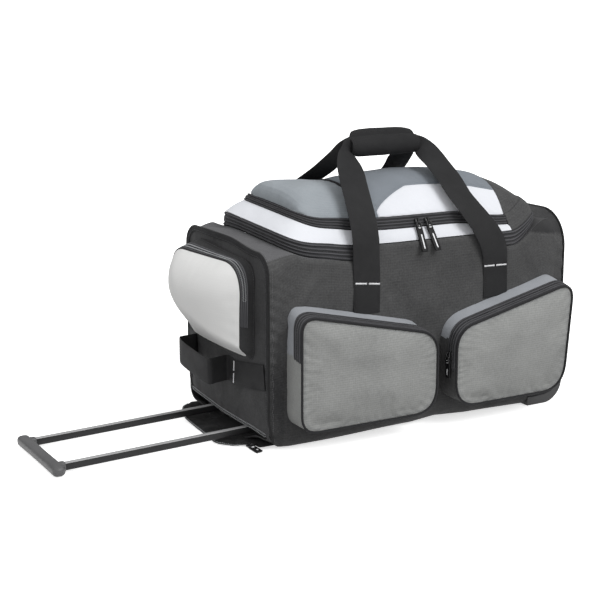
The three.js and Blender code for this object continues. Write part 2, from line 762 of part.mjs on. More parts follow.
// The outline of an end panel: the body's own section, set in by the piping.
function endOutline(side, bottom) {
  const x = endX(side);
  const inset = 2 * PIPING + SEAM;
  const half = halfDepthAt(x) - inset;
  const round = roundAt(x) - inset;
  const top = topAt(x) - inset - SEAM;
  const right = [
    ...shares(3).map((t) => new THREE.Vector2(half, lerp(bottom, top - round, t))),
    ...shares(4).slice(1).map((t) => {
      const turn = (t * PI) / 2;
      return new THREE.Vector2(half - round + round * cos(turn), top - round + round * sin(turn));
    }),
  ];
  const left = [...right].reverse().map((p) => new THREE.Vector2(-p.x, p.y));
  const between = (from, to, count) => shares(count).slice(1, -1).map((t) => from.clone().lerp(to, t));
  return [
    ...right,
    ...between(right.at(-1), left[0], 3),
    ...left,
    ...between(left.at(-1), right[0], 4),
  ];
}

function endPanel(side, bottom) {
  const place = (p, share, depth) => vec(endPanelX(side, p.x, p.y) - side * depth, p.x, p.y);
  return dishedPanel(endOutline(side, bottom), [1, 0.85, 0.5], place);
}
add("end_panel_left", endPanel(-1, BODY.lipLeft), "charcoal");
const rightEnd = cut(endPanel(1, BODY.lipRight), wheelWell(-1, SEAM), wheelWell(1, SEAM));
add("end_panel_right", rightEnd, "charcoal");

// Piping round the sides and top of an end, open at the bottom.
function endPiping(side, bottom) {
  const x = endX(side) + side * (PIPING + SEAM);
  const inset = PIPING / 2;
  const half = halfDepthAt(x) - inset;
  const foot = vec(x, -half, bottom);
  const arch = shares(14).map((t) => {
    const y = lerp(-half, half, t);
    return vec(x, y, endTop(side, y) - inset);
  });
  const straight = 12;
  const leg = vec(x, -half, topAt(x) - roundAt(x) - straight);
  const mirror = (p) => vec(p.x, -p.y, p.z);
  return cordAlong([foot, leg, ...arch, mirror(leg), mirror(foot)], PIPING, 22);
}
const PIPING_FOOT = { left: 12, right: HOUSING.top + 4 };
add("end_piping_left", endPiping(-1, PIPING_FOOT.left), "black");
add("end_piping_right", endPiping(1, PIPING_FOOT.right), "black");

// A pocket: gusset round its sides, dished face, cord round the face and zip over its top.
function pocketPieces({ name, loop, place, depthAt, bulge, zip, finish, corded }) {
  const core = place(loop[0].clone().lerp(loop[Math.floor(loop.length / 2)], 0.5), -80);
  const rim = corded ? 2 * PIPING + 3.5 * SEAM : SEAM;
  const cordRoom = PIPING + SEAM / 3;
  const gussetGrid = loop.map((p) => shares(2).map((t) => place(p, (depthAt(p) - cordRoom) * t)));
  add(`${name}_gusset`, clothWall(gussetGrid, core, { closed: true }), finish.gusset);

  const faceLoop = widened(loop, -rim);
  const facePlace = (p, share, depth) => place(p, depthAt(p) + bulge * (1 - share ** 2.6) - depth);
  add(`${name}_face`, dishedPanel(faceLoop, [1, 0.66], facePlace), finish.face);

  if (corded) {
    const joint = 0.4;
    const [first, last] = [loop[0], loop.at(-1)];
    const meet = first.clone().lerp(last, joint / first.distanceTo(last));
    const cordPoints = [...loop, meet].map((p) => place(p, depthAt(p)));
    add(`${name}_piping`, cordAlong(cordPoints, PIPING - SEAM / 3, 32), "black");
  }

  const outside = widened(loop, SEAM + ZIP_TAPE);
  const zipRows = outside.filter((p, i) => zip(loop[i]));
  const tapeSteps = [[0.42, 0], [0.6, 0], [0.7, COIL_LIFT], [0.8, 0], [0.97, 0]];
  const raised = widened(loop, SEAM + ZIP_TAPE + COIL_LIFT).filter((p, i) => zip(loop[i]));
  const zipGrid = zipRows.map((p, i) =>
    tapeSteps.map(([share, lift]) => place(lift ? raised[i] : p, (depthAt(p) - cordRoom) * share))
  );
  add(`${name}_zip`, clothWall(zipGrid, core, { wall: ZIP_TAPE }), "black");
}

function frontPocketLoop({ inner, outer, foot, round }) {
  const corners = [
    { a: inner, z: POCKET.bottom, round: POCKET.roundInner },
    { a: foot, z: POCKET.bottom, round },
    { a: outer, z: POCKET.topOuter, round },
    { a: inner, z: POCKET.topInner, round: POCKET.roundInner },
  ];
  return roundedLoop(corners, 3, 3);
}

FRONT_POCKETS.forEach((pocket) => {
  const loop = frontPocketLoop(pocket);
  const half = abs(pocket.outer - pocket.inner) / 2;
  const nearInner = (p) => abs(p.x - pocket.inner) < half;
  // The loop starts at the inner bottom corner, so the zip's run over the top is one stretch of it.
  pocketPieces({
    name: pocket.name,
    loop: [...loop.slice(3), ...loop.slice(0, 3)],
    place: (p, depth) => vec(p.x, -halfDepthAt(p.x) - SEAM - depth, p.y),
    depthAt: () => POCKET.depth,
    bulge: POCKET.bulge,
    zip: (p) => p.y > (nearInner(p) ? POCKET_ZIP.inner : POCKET_ZIP.outer),
    finish: { gusset: "gusset", face: "ripstop" },
    corded: true,
  });
});

const endPocketLoop = roundedLoop(
  [
    { a: -END_POCKET.half, z: END_POCKET.bottom, round: END_POCKET.roundBottom },
    { a: END_POCKET.half, z: END_POCKET.bottom, round: END_POCKET.roundBottom },
    { a: END_POCKET.half, z: END_POCKET.top, round: END_POCKET.roundTop },
    { a: -END_POCKET.half, z: END_POCKET.top, round: END_POCKET.roundTop },
  ],
  3,
  3
);
function endPocketDepth(p) {
  const { bottom, deepFrom, depthBottom, depthTop } = END_POCKET;
  return lerp(depthBottom, depthTop, smoothstep(p.y, bottom, deepFrom));
}
pocketPieces({
  name: "end_pocket",
  loop: endPocketLoop,
  place: (p, depth) => vec(endPanelX(-1, p.x, p.y) - SEAM - depth, p.x, p.y),
  depthAt: endPocketDepth,
  bulge: END_POCKET.bulge,
  zip: (p) => p.y > END_POCKET.zipStart,
  finish: { gusset: "charcoal", face: "pale" },
  corded: false,
});

// Webbing: a flat strap along stations, each with a middle point and a half-width vector.
function webbingStrap(stations) {
  const across = ({ at, half }) => [-1, 0, 1].map((side) => at.clone().addScaledVector(half, side));
  const grid = stations.map(across);
  const normals = stations.map(({ at, half }, i) => {
    const before = stations[max(i - 1, 0)].at;
    const after = stations[min(i + 1, stations.length - 1)].at;
    const out = after.clone().sub(before).cross(half).normalize();
    return [out, out, out];
  });
  return clothWall(grid, CORE, { wall: WEBBING, normals });
}

// A carry handle runs up its left leg, through the grip and down its right leg; flank is -1 at the front.
function carryHandle(flank) {
  const face = flank < 0 ? "front" : "back";
  const up = HANDLE_LEGS.map((station) => ({ ...station, side: "left" }));
  const down = HANDLE_LEGS.map((station) => ({ ...station, side: "right" })).reverse();
  const legs = [...up, ...down];
  const middles = legs.map((station) => vec(station[station.side], flank * station.depth, station[face].z));
  const curve = new THREE.CatmullRomCurve3(middles, false, "centripetal");
  const count = legs.length - 1;
  const stations = shares(Math.round(1.3 * count)).map((t) => {
    const place = t * count;
    const low = legs[Math.floor(place)];
    const high = legs[Math.ceil(place)];
    const turn = degToRad(lerp(low[face].turn, high[face].turn, place % 1));
    const inward = low.side === "left" ? 1 : -1;
    const tangent = curve.getTangent(t);
    const half = vec(inward * cos(turn), 0, -sin(turn));
    half.addScaledVector(tangent, -half.dot(tangent)).normalize();
    half.multiplyScalar(lerp(HANDLE.width, HANDLE.gripWidth, turn / (PI / 2)) / 2);
    return { at: curve.getPoint(t), half: half.multiplyScalar(flank < 0 ? 1 : -1) };
  });
  return webbingStrap(stations);
}

// The front handle is sewn in above the pockets, so it stops at their outline.
function pocketBlock(pocket) {
  const outline = new THREE.Shape(widened(frontPocketLoop(pocket), SEAM + ZIP_TAPE + 1));
  return slabAcross(outline, -BODY.halfDepth - POCKET.depth, -BODY.halfDepth + 10);
}
add("front_handle", cut(carryHandle(-1), ...FRONT_POCKETS.map(pocketBlock)), "webbing");
add("back_handle", carryHandle(1), "webbing");

function gripWrap() {
  const { halfLength, halfDepth, halfHeight, taper, middle, wall } = GRIP_WRAP;
  const grid = shares(12).slice(1).map((t) => {
    const turn = 2 * PI * t;
    return shares(4).map((s) => {
      const x = lerp(-halfLength, halfLength, s);
      const pinch = taper * (x / halfLength) ** 4;
      return vec(x, (halfDepth - pinch) * cos(turn), middle + (halfHeight - pinch) * sin(turn));
    });
  });
  const normals = grid.map((row) => row.map((p) => vec(0, p.y, p.z - middle).normalize()));
  return clothWall(grid, CORE, { wall, closed: true, normals });
}
add("grip_wrap", gripWrap(), "webbing");

function grabHandle() {
  const stations = GRAB_STATIONS.map(({ y, off }) => {
    const z = lerp(GRAB.front, GRAB.back, smoothstep(y, GRAB.riseFrom, GRAB.riseTo));
    const x = endPanelX(-1, y, z) - 2 * SEAM - WEBBING - off;
    return { at: vec(x, y, z), half: vec(0, 0, GRAB.width / 2) };
  });
  return webbingStrap(stations.reverse());
}
add("grab_handle", grabHandle(), "webbing");

function bayFlap() {
  const root = BODY.left - SEAM;
  const grid = FLAP_STATIONS.map(({ y, reach, lift }) =>
    shares(3).map((t) => vec(root - reach * t, y, FLOOR_GAP + FLAP.thick + lift * t ** 2))
  );
  return clothWall(grid, vec(BODY.left, 0, -2000), { wall: FLAP.thick });
}
add("bay_flap", bayFlap(), "black");

// A zip pull: a slider with a tag hanging from it, drawn upright with the slider at the origin.
function zipPull() {
  const { slider, sliderThick, tagNeck, tagLength, tagThick, lap } = PULL;
  const half = PULL.tagWidth / 2;
  const neckHalf = half * 0.6;
  const tag = new THREE.Shape();
  tag.moveTo(-neckHalf, 0);
  tag.lineTo(neckHalf, 0);
  tag.lineTo(half, -tagNeck);
  tag.lineTo(half, half - tagLength);
  tag.absarc(0, half - tagLength, half, 0, -PI, true);
  tag.lineTo(-half, -tagNeck);
  const body = block(-slider / 2, slider / 2, -sliderThick, 0, -lap, slider - lap / 2);
  return joined(slabAcross(tag, -sliderThick, tagThick - sliderThick, 3), body);
}
function addPull({ name, at, turn }) {
  const pull = add(name, zipPull(), "black");
  pull.position.set(...at);
  pull.rotation.set(...turn);
}
LID_PULLS.forEach(addPull);
const pocketPullY = -halfDepthAt(0) - POCKET_PULL.depthShare * POCKET.depth;
FRONT_POCKETS.forEach(({ name, inner }) => {
  const side = Math.sign(inner);
  const x = inner - side * (2 * SEAM + ZIP_TAPE + COIL_LIFT);
  const at = [x, pocketPullY, POCKET_PULL.height];
  addPull({ name: `${name}_pull`, at, turn: [0, 0, (-side * PI) / 2] });
});
addPull(FLAP_PULL);

// Pull handle and its sleeves, in a frame whose X axis is the slide's axis.
const trolley = new THREE.Group();
trolley.position.set(TROLLEY.mouth, 0, TROLLEY.height);
trolley.rotation.y = -degToRad(TROLLEY.tiltDeg);
bag.add(trolley);

function roundedBar(width, height, round) {
  const [a, b] = [width / 2, height / 2];
  const bar = new THREE.Shape();
  bar.moveTo(-a + round, -b);
  bar.absarc(a - round, -b + round, round, -PI / 2, 0);
  bar.absarc(a - round, b - round, round, 0, PI / 2);
  bar.absarc(-a + round, b - round, round, PI / 2, PI);
  bar.absarc(-a + round, -b + round, round, PI, 1.5 * PI);
  return bar;
}

// A shape across the slide, extruded along X from x0 to x1.
function slabAlong(shape, x0, x1) {
  const slab = new THREE.ExtrudeGeometry(shape, { depth: x1 - x0, bevelEnabled: false, curveSegments: 1 });
  return slab.rotateX(PI / 2).rotateZ(PI / 2).translate(x0, 0, 0);
}

function hollowTube({ width, height, round }, x0, x1) {
  const { wall } = TROLLEY;
  const section = roundedBar(width, height, round);
  section.holes.push(roundedBar(width - 2 * wall, height - 2 * wall, round - wall / 2));
  return slabAlong(section, x0, x1);
}

const gripX = -ROD.outside;
const SIDES = [
  { where: "near", side: -1 },
  { where: "far", side: 1 },
];
const rodY = ({ side }) => (side * TROLLEY.rodSpacing) / 2;
SIDES.forEach((flank) => {
  const rod = hollowTube(ROD, gripX, ROD.inside);
  add(`rod_${flank.where}`, rod.translate(0, rodY(flank), 0), "tube", trolley);
  const sleeve = hollowTube(SLEEVE, SLEEVE.start, SLEEVE.end);
  add(`sleeve_${flank.where}`, sleeve.translate(0, rodY(flank), 0), "tube", trolley);
});

// The grip: a rounded bar with a socket for each rod.
function pullGrip() {
  const { length, depth, height, round, endRound, lap } = GRIP;
  const bevel = { bevelThickness: endRound, bevelSize: 5, bevelOffset: -5, bevelSegments: 2 };
  const section = roundedBar(depth, height, round);
  const run = { depth: length - 2 * endRound, curveSegments: 2 };
  const bar = new THREE.ExtrudeGeometry(section, { ...run, ...bevel });
  bar.rotateX(PI / 2).translate(gripX - depth / 2 + lap, length / 2 - endRound, 0);
  const start = gripX - SOCKET.lap;
  const cup = roundedBar(SOCKET.width, SOCKET.height, SOCKET.round);
  const socket = slabAlong(cup, start, start + SOCKET.depth);
  const sockets = SIDES.map((flank) => socket.clone().translate(0, rodY(flank), 0));
  const play = SEAM / 2;
  const bores = SIDES.map((flank) => {
    const y = rodY(flank);
    const [a, b] = [ROD.width / 2 + play, ROD.height / 2 + play];
    return block(gripX - play, gripX + clear, y - a, y + a, -b, b);
  });
  return cut(joined(bar, ...sockets), ...bores);
}
add("pull_grip", pullGrip(), "moulded", trolley);

// The chassis: a board over the sleeves, a block that holds their ends, and a housing for each wheel.
function wheelHousing(side) {
  const { left, right, corner, top, slopeFoot, slopeTop, inner, outer, roof, wellHalf, wellLeft } = HOUSING;
  const shape = new THREE.Shape();
  shape.moveTo(left, FLOOR_GAP);
  shape.lineTo(right - corner, FLOOR_GAP);
  shape.absarc(right - corner, corner + FLOOR_GAP, corner, -PI / 2, 0);
  shape.lineTo(right, top);
  shape.lineTo(slopeTop, top);
  shape.lineTo(left, slopeFoot);
  const shell = slabAcross(shape, ...flankSpan(side, inner, outer), 6);
  const wellSpan = flankSpan(side, WHEEL.y - wellHalf, WHEEL.y + wellHalf);
  const well = block(wellLeft, right + clear, ...wellSpan, -clear, top - roof);
  const holeRadius = AXLE.radius + SEAM;
  const hole = new THREE.CylinderGeometry(holeRadius, holeRadius, AXLE.length + 2 * SEAM, 12);
  hole.translate(WHEEL.x, side * WHEEL.y, WHEEL.radius + FLOOR_GAP);
  return cut(shell, well, hole);
}

function chassis() {
  const half = SLEEVE.height / 2;
  const under = half + SEAM;
  const both = (depth) => [-depth, depth];
  const board = block(BOARD.start, BOARD.end, ...both(BOARD.halfDepth), under, under + BOARD.thick);
  const keeperSpan = both(KEEPER.halfDepth);
  const keeper = block(KEEPER.start, KEEPER.end, ...keeperSpan, -half - KEEPER.wall, under + BOARD.thick / 2);
  const bores = SIDES.map((flank) => {
    const y = rodY(flank);
    const wide = SLEEVE.width / 2 + SEAM;
    return block(KEEPER.start - clear, SLEEVE.end + SEAM, y - wide, y + wide, -under, under);
  });
  const spine = cut(joined(board, keeper), ...bores);
  trolley.updateMatrixWorld(true);
  spine.applyMatrix4(trolley.matrixWorld);
  const lap = -2;
  return joined(cut(spine, wheelWell(-1, lap), wheelWell(1, lap)), wheelHousing(-1), wheelHousing(1));
}
add("chassis", chassis(), "chassis");

function wheel() {
  const { radius, width, bore, hubRadius, hubDish, shoulder } = WHEEL;
  const half = width / 2;
  const hubRim = hubRadius + 2;
  const profile = [
    [bore, -half + hubDish],
    [hubRadius, -half + hubDish],
    [hubRim, -half],
    [radius - shoulder, -half],
    [radius, -half + shoulder],
    [radius, half - shoulder],
    [radius - shoulder, half],
    [hubRim, half],
    [hubRadius, half - hubDish],
    [bore, half - hubDish],
    [bore, -half + hubDish],
  ].map(([r, y]) => new THREE.Vector2(r, y));
  return new THREE.LatheGeometry(profile, 14);
}
SIDES.forEach(({ where, side }) => {
  const centre = vec(WHEEL.x, side * WHEEL.y, WHEEL.radius + FLOOR_GAP);
  add(`wheel_${where}`, wheel(), "tyre").position.copy(centre);
  const pin = new THREE.CylinderGeometry(AXLE.radius, AXLE.radius, AXLE.length, 12);
  add(`axle_${where}`, pin, "steel").position.copy(centre);
});

export default bag;
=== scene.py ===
"""Looks of a wheeled duffel bag: sewn cloth, webbing, zips, a pull handle and wheels."""
import math

import bmesh
import bpy
import numpy as np
from mathutils import Matrix, Vector

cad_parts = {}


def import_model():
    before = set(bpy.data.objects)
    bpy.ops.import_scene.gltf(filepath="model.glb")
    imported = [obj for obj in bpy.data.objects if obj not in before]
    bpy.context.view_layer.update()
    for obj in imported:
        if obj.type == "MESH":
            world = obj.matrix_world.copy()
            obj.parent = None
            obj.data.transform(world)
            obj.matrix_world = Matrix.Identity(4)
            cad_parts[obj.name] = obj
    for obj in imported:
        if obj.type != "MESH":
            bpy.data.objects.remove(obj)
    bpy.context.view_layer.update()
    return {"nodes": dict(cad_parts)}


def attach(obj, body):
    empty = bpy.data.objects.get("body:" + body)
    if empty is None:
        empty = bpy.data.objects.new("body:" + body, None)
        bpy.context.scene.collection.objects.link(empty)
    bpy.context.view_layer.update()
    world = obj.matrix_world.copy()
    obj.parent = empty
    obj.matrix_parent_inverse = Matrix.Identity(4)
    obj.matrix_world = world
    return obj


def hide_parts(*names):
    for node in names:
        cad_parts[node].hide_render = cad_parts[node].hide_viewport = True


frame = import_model()
scene = bpy.context.scene
MM = 0.001


# ---------------------------------------------------------------- sizes, in mm
CLOTH = 2.0
WEBBING = 2.4
BODY_LEFT, BODY_RIGHT, BODY_HALF = -350.0, 341.0, 172.0
SLANT = 0.7071  # sine and cosine of 45 degrees
HOUSING_LEFT, HOUSING_INNER, HOUSING_TOP = 255.4, 130.4, 70.6  # where the cloth is cut away over a wheel's housing
LEVELS = [  # rings that the lid's side is drawn between: plan, heights, and how far back the left end tips up
    {"left": -296.0, "right": 291.0, "half": 169.5,
     "middle": 342.0, "left_end": 380.0, "dip": 0.0, "right_end": 386.0, "tip": 50.0},
    {"left": -294.0, "right": 289.0, "half": 166.0,
     "middle": 372.0, "left_end": 405.0, "dip": 0.0, "right_end": 402.0, "tip": 200.0},
    {"left": -258.0, "right": 284.0, "half": 151.0,
     "middle": 395.0, "left_end": 427.0, "dip": -13.0, "right_end": 414.0, "tip": 200.0},
    {"left": -250.0, "right": 274.0, "half": 141.0,
     "middle": 418.0, "left_end": 440.0, "dip": -17.0, "right_end": 428.0, "tip": 200.0},
]
FOOT, BAND, _, ZIP_TOP = LEVELS
RING_POWER = 7
CROWN_RIM = {"left": -247.2, "right": 271.2, "half": 138.2}
CROWN_CREST = [  # x and height along the middle of the lid's top
    (-247.2, 439), (-245.9, 439.5), (-244.2, 447), (-241, 456), (-235.5, 463), (-225, 468), (-205, 472), (-185, 474),
    (-165, 475), (-145, 474.5), (-128, 473), (-116, 471), (-104, 475), (-85, 479), (-60, 482), (-20, 485), (35, 487),
    (90, 486.5), (130, 484), (165, 479), (200, 471.5), (230, 462.5), (250, 454), (262, 445), (267, 437), (269.9, 429),
    (271.2, 428),
]
PIPED_X, ARC_X, WING_X = -116.0, -94.0, 206.0  # seams at the lid's rim
STRAP_LEFT, STRAP_RIGHT = -143.0, 160.0
HANDLE_LEGS = {  # depth, x, height, turn about its length in degrees, width
    "front_left": [
        (174.2, -143, 190, 0, 58), (174.2, -143, 300, 0, 58), (176.4, -146, 345, 0, 58), (177.4, -149, 388, 0, 58),
        (166, -149, 421, 1, 58), (138, -141, 450, 2, 57), (94, -125, 482, 3, 57), (54, -108, 508, 5, 54),
        (29, -97, 526, 26, 45), (17, -90, 539, 66, 34), (15.4, -76, 543, 86, 28), (15.4, -30, 543, 90, 27),
    ],
    "front_right": [
        (174.2, 160, 190, 0, 58), (174.2, 158, 300, 0, 58), (180, 151, 338, 0, 58), (182, 138, 366, 0, 57),
        (177, 121, 393, 0, 55), (164, 105, 420, 0, 55), (138, 93, 449, 2, 55), (94, 93, 482, 4, 56),
        (54, 91, 508, 8, 55), (28, 85, 527, 36, 44), (17, 77, 539, 74, 31), (15.4, 64, 543, 88, 27),
        (15.4, 30, 543, 90, 27),
    ],
    "back_left": [
        (174.2, -143, 60, 0, 58), (174.2, -143, 300, 0, 58), (176, -147, 345, 0, 58), (176, -150, 380, 0, 58),
        (166, -149, 406, 0, 58), (138, -140, 431, 2, 56), (94, -122, 461, 8, 50), (54, -103, 490, 22, 42),
        (28, -89, 516, 56, 33), (17, -78, 535, 80, 28), (15.4, -60, 543, 88, 27), (15.4, -30, 543, 90, 27),
    ],
    "back_right": [
        (174.2, 160, 60, 0, 58), (174.2, 160, 300, 0, 58), (176, 150, 345, 0, 58), (176, 128, 380, 0, 58),
        (166, 112, 406, 0, 58), (138, 98, 435, 0, 58), (94, 84, 466, 0, 58), (54, 74, 494, 0, 58),
        (28, 68, 518, 8, 58), (17, 66, 537, 60, 42), (15.4, 58, 543, 88, 27), (15.4, 30, 543, 90, 27),
    ],
}
POCKET_DEPTH, POCKET_BULGE, POCKET_FLARE = 55.0, 12.0, 13.0
POCKET_FOOT, POCKET_INNER_TOP, POCKET_TOP = 46.0, 201.0, 268.0
POCKETS = {
    "left": {"inner": -15.0, "outer": -314.0, "foot": -314.0, "round": 36.0, "foot_round": 36.0},
    "right": {"inner": 29.0, "outer": 318.0, "foot": 300.0, "round": 42.0, "foot_round": 56.0},
}
END_POCKET_HALF, END_POCKET_LOW, END_POCKET_HIGH = 130.0, 166.0, 359.0
GRAB_STATIONS = [  # y, distance from the cloth
    (-160, 0), (-110, 0), (-62, 0), (-43, 0.3), (-38.5, 3), (-40, 14), (-43.5, 30), (-46.5, 41), (-45, 45), (-38, 46.5),
    (20, 47), (80, 45.5), (95, 43), (101, 40), (103.5, 33), (105, 18), (107, 5), (111, 0.3), (125, 0), (160, 0),
]
FLAP_STATIONS = [  # y, how far it lies out, lift of its edge
    (-120, 8, 1), (-112, 27, 1), (-98, 48, 1), (-78, 62, 1), (-10, 59, 1), (60, 54, 2), (96, 50, 4), (128, 40, 7),
    (150, 26, 8), (164, 9, 6),
]
TROLLEY_MOUTH, TROLLEY_HEIGHT, TROLLEY_TILT = -350.0, 21.5, math.radians(1.55)
ROD_WIDTH, ROD_HEIGHT, ROD_SIDE = 12.0, 14.0, 78.5
RAIL_WIDTH, RAIL_HEIGHT, RAIL_SIDE = 3.6, 13.6, 8.2
SOCKET_WIDTH, SOCKET_HEIGHT = 16.0, 18.4
WHEEL_X, WHEEL_Y, WHEEL_Z = 310.0, 152.0, 31.6


# ---------------------------------------------------------------- numbers
def lerp(a, b, t):
    return a + (b - a) * t


def ease(x, low, high):
    t = np.clip((np.asarray(x, float) - low) / (high - low), 0, 1)
    return t * t * (3 - 2 * t)


def ridge(x, middle, width):
    return np.exp(-(((x - middle) / width) ** 2))


def relief(points, size, seed):
    """Smooth random relief from -1 to 1, with swells about `size` mm across."""
    place = np.asarray(points, float) / size + seed * 17.31
    cell = np.floor(place).astype(np.int64)
    part = place - cell
    part = part * part * (3 - 2 * part)
    total = np.zeros(part.shape[:-1])
    for corner in np.ndindex(2, 2, 2):
        at = cell + np.array(corner)
        mix = (at[..., 0] * 73856093) ^ (at[..., 1] * 19349663) ^ (at[..., 2] * 83492791)
        mix = mix & 0x3FFFFFF
        mix = (mix * 1103515245 + 12345) & 0x7FFFFFFF
        mix = ((mix >> 7) * 69069 + 90001) & 0xFFFFFF
        weight = np.prod(np.where(np.array(corner), part, 1 - part), axis=-1)
        total += weight * (mix / 0x7FFFFF - 1)
    return total


def smooth_path(stations, count):
    """Points on a smooth curve through the stations, which may carry extra columns."""
    given = np.asarray(stations, float)
    ends = np.concatenate([[2 * given[0] - given[1]], given, [2 * given[-1] - given[-2]]])
    out = []
    for place in np.linspace(0, len(given) - 1, count):
        i = min(int(place), len(given) - 2)
        w = place - i
        p0, p1, p2, p3 = ends[i : i + 4]
        d0, d1, d2 = [max(1e-4, np.linalg.norm(b[:3] - a[:3]) ** 0.5) for a, b in ((p0, p1), (p1, p2), (p2, p3))]
        t1 = ((p1 - p0) / d0 - (p2 - p0) / (d0 + d1) + (p2 - p1) / d1) * d1
        t2 = ((p2 - p1) / d1 - (p3 - p1) / (d1 + d2) + (p3 - p2) / d2) * d1
        out.append(
            (2 * w**3 - 3 * w**2 + 1) * p1 + (w**3 - 2 * w**2 + w) * t1
            + (3 * w**2 - 2 * w**3) * p2 + (w**3 - w**2) * t2
        )
    return np.array(out)


def unit(v):
    return v / np.maximum(np.linalg.norm(v, axis=-1, keepdims=True), 1e-9)


# ---------------------------------------------------------------- meshes
def add_mesh(name, points, faces, corner_uv):
    """A smooth-shaded mesh from points in mm; faces are turned outward by the volume's sign."""
    points = np.asarray(points, float)
    volume = 0.0
    for face in faces:
        a = points[face[0]]
        for k in range(1, len(face) - 1):
            volume += np.dot(a, np.cross(points[face[k]], points[face[k + 1]]))
    if volume < 0:
        faces = [tuple(face[::-1]) for face in faces]
        corner_uv = [uv[::-1] for uv in corner_uv]
    mesh = bpy.data.meshes.new(name)
    mesh.from_pydata((points * MM).tolist(), [], [tuple(int(v) for v in face) for face in faces])
    layer = mesh.uv_layers.new(name="cloth")
    layer.data.foreach_set("uv", np.concatenate([np.asarray(uv, float) for uv in corner_uv]).ravel())
    return set_out(name, mesh, 48)


def set_out(name, mesh, sharp):
    """Puts a mesh in the scene, smooth but for edges of more than `sharp` degrees."""
    mesh.polygons.foreach_set("use_smooth", [True] * len(mesh.polygons))
    mesh.set_sharp_from_angle(angle=math.radians(sharp))
    piece = bpy.data.objects.new(name, mesh)
    scene.collection.objects.link(piece)
    return piece


def skin_normals(skin, closed=False, core=(0, 0, 200)):
    along = np.roll(skin, -1, 0) - np.roll(skin, 1, 0) if closed else np.gradient(skin, axis=0)
    normals = unit(np.cross(along, np.gradient(skin, axis=1)))
    return normals if np.sum(normals * (skin - np.array(core))) > 0 else -normals


def shell(name, skin, wall, closed=False, core=(0, 0, 200), keep=None, tape=0.0):
    """A cloth shell: an outer skin of rows and columns, an inner one `wall` behind it, and the rims between.

    `tape` is the width that the weave's coordinates take across it, when that is to be the same along its length.
    """
    rows, cols = skin.shape[:2]
    count = rows * cols
    inner = skin - skin_normals(skin, closed, core) * wall
    points = np.concatenate([skin.reshape(-1, 3), inner.reshape(-1, 3)])
    i, j = np.meshgrid(np.arange(rows if closed else rows - 1), np.arange(cols - 1), indexing="ij")
    if keep is not None:
        i, j = i[keep], j[keep]
    i, j = i.ravel(), j.ravel()
    after = (i + 1) % rows
    quads = np.stack([i * cols + j, after * cols + j, after * cols + j + 1, i * cols + j + 1], -1)
    loop = np.concatenate([skin, skin[:1]]) if closed else skin
    u = np.concatenate([[0], np.cumsum(np.linalg.norm(np.diff(loop, axis=0), axis=-1).mean(1))])
    v = np.concatenate([[0], np.cumsum(np.linalg.norm(np.diff(skin, axis=1), axis=-1).mean(0))])
    v = v * (tape / v[-1]) if tape else v
    uv = np.stack(np.meshgrid(u, v, indexing="ij"), -1) * MM
    corner = np.stack([uv[i, j], uv[i + 1, j], uv[i + 1, j + 1], uv[i, j + 1]], 1)
    edges = np.concatenate([quads[:, [k, (k + 1) % 4]] for k in range(4)])
    edge_uv = np.concatenate([corner[:, [k, (k + 1) % 4]] for k in range(4)])
    free = ~np.isin(edges[:, 0] * count + edges[:, 1], edges[:, 1] * count + edges[:, 0])
    p, q = edges[free].T
    rim = np.stack([q, p, p + count, q + count], -1)
    rim_uv = edge_uv[free][:, [1, 0, 0, 1]]
    faces = np.concatenate([quads, quads[:, ::-1] + count, rim])
    uvs = np.concatenate([corner, corner[:, ::-1], rim_uv])
    return add_grid(name, points, faces, uvs)


def add_grid(name, points, quads, corner_uv):
    """The same as add_mesh for quads alone, without a slow loop."""
    a, b, c, d = (points[quads[:, k]] for k in range(4))
    volume = np.sum(a * np.cross(b, c)) + np.sum(a * np.cross(c, d))
    if volume < 0:
        quads, corner_uv = quads[:, ::-1], corner_uv[:, ::-1]
    mesh = bpy.data.meshes.new(name)
    mesh.from_pydata((points * MM).tolist(), [], quads.tolist())
    layer = mesh.uv_layers.new(name="cloth")
    layer.data.foreach_set("uv", np.ascontiguousarray(corner_uv, float).ravel())
    piece = set_out(name, mesh, 48)
    if len(np.unique(quads)) < len(points):
        drop_loose(mesh)
    return piece


def drop_loose(mesh):
    """Takes away the points that no face uses."""
    work = bmesh.new()
    work.from_mesh(mesh)
    bmesh.ops.delete(work, geom=[v for v in work.verts if not v.link_faces], context="VERTS")
    work.to_mesh(mesh)
    work.free()


def loft(name, rings, closed=False):
    """A solid through closed rings of points; its ends are capped unless the row of rings closes on itself."""
    rings = np.asarray(rings, float)
    rows, sides = rings.shape[:2]
    points = rings.reshape(-1, 3)
    u = np.concatenate([[0], np.cumsum(np.linalg.norm(np.diff(rings.mean(1), axis=0), axis=-1))]) * MM
    if closed:
        u = np.append(u, u[-1] + np.linalg.norm(rings[0].mean(0) - rings[-1].mean(0)) * MM)
    girth = np.concatenate([rings[rows // 2], rings[rows // 2][:1]])
    v = np.concatenate([[0], np.cumsum(np.linalg.norm(np.diff(girth, axis=0), axis=-1))]) * MM
    faces, uvs = [], []
    for i in range(rows if closed else rows - 1):
        after = (i + 1) % rows
        for j in range(sides):
            k = (j + 1) % sides
            faces.append((i * sides + j, after * sides + j, after * sides + k, i * sides + k))
            uvs.append([(u[i], v[j]), (u[i + 1], v[j]), (u[i + 1], v[j + 1]), (u[i], v[j + 1])])
    if not closed:
        faces.append(tuple(range(sides)))
        uvs.append([(0, x) for x in v[:-1]])
        faces.append(tuple((rows - 1) * sides + k for k in reversed(range(sides))))
        uvs.append([(u[-1], x) for x in v[:-1]][::-1])
    return add_mesh(name, points, faces, uvs)


